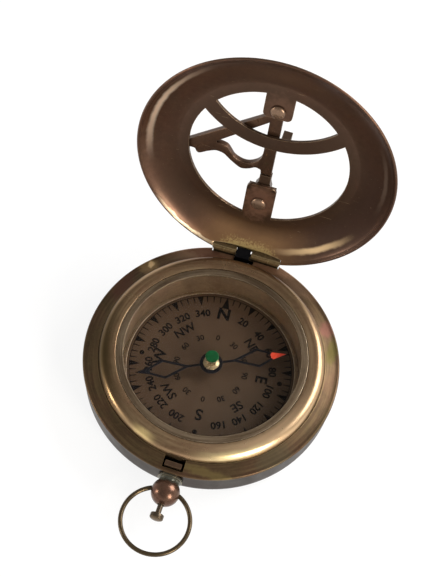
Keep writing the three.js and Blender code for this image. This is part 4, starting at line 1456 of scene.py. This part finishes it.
gnomon_brass = brass("gnomon_brass", (0.12, 0.062, 0.035), (0.055, 0.03, 0.019), (0.45, 0.32, 0.21),
                     patch=4, rough=(0.24, 0.38), scratches=0.35, wear=0.8)


def flowing(points, steps=6):
    """A smooth curve through given points."""
    ends = [points[0], *points, points[-1]]
    curve = []
    for a, b, c, d in zip(ends, ends[1:], ends[2:], ends[3:]):
        for i in range(steps):
            t = i / steps
            weights = ((-t + 2 * t * t - t ** 3) / 2, (2 - 5 * t * t + 3 * t ** 3) / 2,
                       (t + 4 * t * t - 3 * t ** 3) / 2, (t ** 3 - t * t) / 2)
            curve.append(tuple(sum(w * p[k] for w, p in zip(weights, (a, b, c, d))) for k in (0, 1)))
    return [*curve, points[-1]]


def style_y(x):
    return style_foot_y - x / math.tan(style_angle)


def scaled(shares):
    return [(-out * gnomon_reach, along * gnomon_reach) for out, along in shares]


def gnomon():
    foot_x = (style_foot_y - gnomon_foot_y) * math.tan(style_angle)
    outside = [
        (gnomon_bar[1], gnomon_foot_y), (gnomon_bar[1], gnomon_top_y), (gnomon_bar[0], gnomon_top_y),
        *flowing(scaled(strut_top_shares)), (-gnomon_reach, strut_tip_share * gnomon_reach),
        (foot_x, gnomon_foot_y)]
    inner = scaled(strut_inner_shares)
    far, near = inner[-1][0], inner[0][0]
    inside = [
        *flowing(inner), (far, style_y(far) + style_tip_width / math.sin(style_angle)),
        (near, style_y(near) + style_width / math.sin(style_angle))]
    half = gnomon_thickness / 2
    plate = flat_piece("gnomon_body", [outside, inside], gnomon_axis_z - half, gnomon_axis_z + half, 0.15)
    for start, end in ((gnomon_top_y - half, gnomon_top_y + fit_gap + trunnion_length),
                       (gnomon_foot_y - fit_gap - trunnion_length, gnomon_foot_y + half)):
        peg = disc_outline(trunnion_radius, -end, -start)
        weld_on(plate, turned("trunnion", peg, hole_steps, gnomon_axis))
    plate.matrix_world = lid_swing
    smooth(plate)
    return dress(plate, gnomon_brass, "gnomon", "polished_brass", "gnomon")


gnomon()

# Hour scale
# Cut into the outer face of the lid and filled with black. Each hour line points at the foot of the style,
# and its angle follows from the style's angle. The hours before noon all carry the numeral VI.
hour_circle_inner = 24.6
hour_circle_outer = 31.2
hour_line_width = 0.18
hour_line_length = 1.8
quarter_line_length = 1.0
hour_label_radius = 27.4
hour_label_size = 2.5
mark_sink = 0.02
slope_power = 1.5
hour_names = ("XII", "I", "II", "III", "IIII", "V", "VI")


def hour_angle(hours):
    """Angle of an hour line from the noon line."""
    if abs(hours) == 6:
        return math.copysign(math.pi / 2, hours)
    return math.atan(math.sin(style_angle) * math.tan(math.radians(15 * hours)))


def crossing(angle, radius):
    """Where an hour line meets a circle round the middle of the lid."""
    along = Vector((math.sin(angle), math.cos(angle)))
    foot = Vector((gnomon_axis_x, style_foot_y))
    middle = foot.dot(along)
    reach = -middle + math.sqrt(middle ** 2 - foot.length_squared + radius ** 2)
    return foot + reach * along


def hour_scale():
    bm = bmesh.new()
    low, high = lid_outer - mark_sink, lid_outer + mark_height
    circle_line(bm, hour_circle_inner, hour_line_width, low, high)
    circle_line(bm, hour_circle_outer, hour_line_width, low, high)
    half = hour_line_width / 2
    for quarter in range(-24, 25):
        angle = hour_angle(quarter / 4)
        inner = hour_circle_outer - (quarter_line_length if quarter % 4 else hour_line_length)
        start, end = crossing(angle, inner), crossing(angle, hour_circle_outer)
        line = end - start
        spoke(bm, math.atan2(*line.yx), 0, line.length, half, half, low, high, tuple(start))
    for hours in range(-6, 7):
        spot = crossing(hour_angle(hours), hour_label_radius)
        turn = math.atan2(spot.y, spot.x) - math.pi / 2
        numeral = hour_names[hours] if hours >= 0 else hour_names[-1]
        lettering(bm, numeral, hour_label_size, tuple(spot), turn, low, high)
    reach, drop = lid_radius - lid_face_radius, lid_outer - lid_lip_bottom
    for v in bm.verts:
        out = min(max((math.hypot(v.co.x, v.co.y) / MM - lid_face_radius) / reach, 0), 1)
        v.co.z -= drop * (1 - (1 - out ** slope_power) ** (1 / slope_power)) * MM
    scale = piece_from(bm, "hour_scale", lid_swing)
    return dress(scale, black_fill, "lid", "dark_brass")


hour_scale()

# Lift spring and latch spring
# Two curved leaves inside the case wall, each held by a screw at its root. The one of blackened steel ends
# in a tongue that throws the lid open, the brass one in the catch that the push button draws back.
leaf_inner = 34.5
leaf_outer = 35.1
leaf_low = 6.3
leaf_height = 3.6
leaf_root = 25
leaf_tail = 5
leaf_tip = 3
lift_tongue = (-3.05, 1.15)
lift_nose = (33.9, 37.3)
lift_nose_low = rim_height + 1.68
lift_nose_high = lift_nose_low + 0.4
latch_tongue = (-2.4, 2.4)
latch_nose = (leaf_inner, 36)
latch_nose_low = rim_height + 0.3
latch_nose_high = latch_nose_low + 0.8
screw_hole_radius = 0.9
screw_hole_steps = 24
screw_head_radius = 1.3
screw_head_height = 0.6
screw_shank_radius = 0.6
screw_turn = spin(math.radians(leaf_root), "Z")
screw_axis = screw_turn @ shift(0, 0, leaf_low + leaf_height / 2) @ spin(-math.pi / 2, "X")


def leaf(name, tongue, nose, low, high):
    """A leaf on the case wall with a riser and a tongue, given by its sides, its reach and its heights."""
    start, end = 90 - leaf_tip, 90 + leaf_root + leaf_tail
    loop = [*arc((0, 0), (leaf_outer, leaf_outer), start, end, 30),
            *arc((0, 0), (leaf_inner, leaf_inner), end, start, 30)]
    strip = flat_piece(name, [loop], leaf_low, leaf_low + leaf_height, 0.05)
    riser = brick("riser", (tongue[0], leaf_inner, leaf_low), (tongue[1], leaf_outer, high))
    weld_on(strip, riser, brick("tongue", (tongue[0], nose[0], low), (tongue[1], nose[1], high)))
    hole = disc_outline(screw_hole_radius, leaf_inner - 1, leaf_outer + 1)
    carve(strip, turned("hole", hole, screw_hole_steps, screw_axis))
    return soften(strip, 0.07)


def leaf_screw(name):
    top = leaf_inner - fit_gap
    bottom = top - screw_head_height
    end = case_radius - case_wall - fit_gap
    screw = turned(name, [
        (0, bottom), (screw_head_radius, bottom), (screw_head_radius, top), (screw_shank_radius, top),
        (screw_shank_radius, end), (0, end)], hole_steps, screw_axis)
    return soften(screw, 0.08)


def springs():
    lift = leaf("lift_spring_body", lift_tongue, lift_nose, lift_nose_low, lift_nose_high)
    dress(lift, black_steel, "lift_spring", "blued_steel", "lift_spring")
    dress(leaf_screw("lift_spring_screw_body"), rivet_brass, "case", "polished_brass", "lift_spring_screw")
    half_turn = spin(math.pi + front_turn, "Z")
    latch = leaf("latch_spring_body", latch_tongue, latch_nose, latch_nose_low, latch_nose_high)
    latch.matrix_world = half_turn
    dress(latch, fitting_brass, "latch_spring", "aged_brass", "latch_spring")
    screw = leaf_screw("latch_spring_screw_body")
    screw.matrix_world = half_turn @ screw.matrix_world
    dress(screw, rivet_brass, "case", "polished_brass", "latch_spring_screw")


springs()

# Pendant
# Collar, neck and ball turned in one piece of brass and soldered to the case wall. It is bored for the
# push stem and drilled on both sides for the ring. Green copper salts sit where it meets the case.
ball_radius = 4.1
ball_y = -41.5
neck_radius = 2.9
collar_radius = 3.6
collar_length = 0.6
ring_peg_radius = 0.65
ring_peg_depth = 1.5
pendant_steps = 96


def verdigris(tree, place):
    """Grey-green corrosion on the neck, where solder flux was left."""
    along = wandering(tree, across_of(tree, place)[1], noise_at(tree, place, 1.1, 5.0), 2.4)
    return fade(tree, along, -39.6, -38.8, 0.85)


ball_middle = spin(front_turn, "Z") @ shift(0, ball_y, pendant_height)
pendant_brass = brass("pendant_brass", (0.24, 0.13, 0.078), (0.07, 0.045, 0.033), (0.6, 0.43, 0.25),
                      patch=3, rough=(0.2, 0.32), scratches=0.3, stain=(0.11, 0.04, 0.03), lacquer=0.25,
                      spots=[(verdigris, (0.15, 0.16, 0.13))])


def pendant():
    start = case_radius + slip
    collar_end = start + collar_length
    centre = -ball_y
    meet = math.degrees(math.asin(-math.sqrt(ball_radius ** 2 - neck_radius ** 2) / ball_radius))
    bore_end = math.degrees(math.acos(stem_hole_radius / ball_radius))
    body = turned("pendant_body", [
        (stem_hole_radius, start), (collar_radius, start), (collar_radius, collar_end),
        (neck_radius, collar_end), *arc((0, centre), (ball_radius, ball_radius), meet, bore_end, 28),
        (stem_hole_radius, start)], pendant_steps, front_axis)
    for side in (-1, 1):
        inner, outer = ball_radius - ring_peg_depth - fit_gap, ball_radius + reach_past
        hole = disc_outline(ring_peg_radius + fit_gap, inner, outer)
        carve(body, turned("peg_hole", hole, hole_steps, ball_middle @ spin(side * math.pi / 2, "Y")))
    return dress(soften(body, 0.1), pendant_brass, "case", "aged_brass", "pendant")


pendant()

# Push button
# A turned brass stem with a domed head, which slides in the bore of the pendant. Pressing it draws the
# catch back and the lid springs open.
stem_radius = 0.8
button_radius = 1.95
button_inner = 48.3
button_thickness = 1.8
button_edge = 0.7


def push_stem(tree, place):
    """Darker brass on the stem, where no thumb rubs it."""
    return fade(tree, across_of(tree, place)[1], -50.2, -49.4, 0.85)


button_brass = brass("button_brass", (0.24, 0.165, 0.09), (0.11, 0.072, 0.04), (0.55, 0.42, 0.24), patch=2,
                     rough=(0.2, 0.32), spots=[(push_stem, (0.07, 0.052, 0.035))])


def push_button():
    outer = button_inner + button_thickness
    dome = arc((0, outer - button_edge), (button_radius, button_edge), 0, 90, 10)
    dome[-1] = (0, outer)
    start = leaf_outer + fit_gap
    body = turned("push_button_body", [
        (0, start), (stem_radius, start), (stem_radius, button_inner), (button_radius, button_inner),
        *dome], knob_steps, front_axis)
    return dress(soften(body, 0.12), button_brass, "push_button", "polished_brass", "push_button")


push_button()

# Bail ring
# Round brass wire bent to a ring, with its two ends sprung into the sides of the ball. It stands out
# level, held by the grip of its ends.
ring_mean_radius = 9.648
ring_wire_radius = 0.65
ring_steps = 60
ring_centre_reach = math.sqrt(ring_mean_radius ** 2 - ball_radius ** 2)

wire_brass = brass("wire_brass", (0.11, 0.077, 0.04), (0.055, 0.038, 0.021), (0.25, 0.18, 0.1), patch=3,
                   rough=(0.26, 0.4), scratches=0.15, wear=0.2)


def bail_ring():
    bend = math.asin((ball_radius + ring_wire_radius) / ring_mean_radius)
    loop = [(ball_radius - ring_peg_depth, 0), (ball_radius, 0)]
    for angle in between(bend, 2 * math.pi - bend, ring_steps):
        y, x = polar(ring_mean_radius, angle)
        loop.append((x, y - ring_centre_reach))
    loop += [(-ball_radius, 0), (ring_peg_depth - ball_radius, 0)]
    curve = bpy.data.curves.new("bail_ring_body", "CURVE")
    curve.dimensions = "3D"
    curve.bevel_depth = ring_wire_radius * MM
    curve.bevel_resolution = 6
    curve.use_fill_caps = True
    curve.resolution_u = 4
    add_loop(curve, loop, closed=False)
    wire = settle(add_object("bail_ring_body", curve))
    wire.matrix_world = ball_middle
    smooth(wire, 60)
    return dress(wire, wire_brass, "bail_ring", "polished_brass", "bail_ring")


bail_ring()
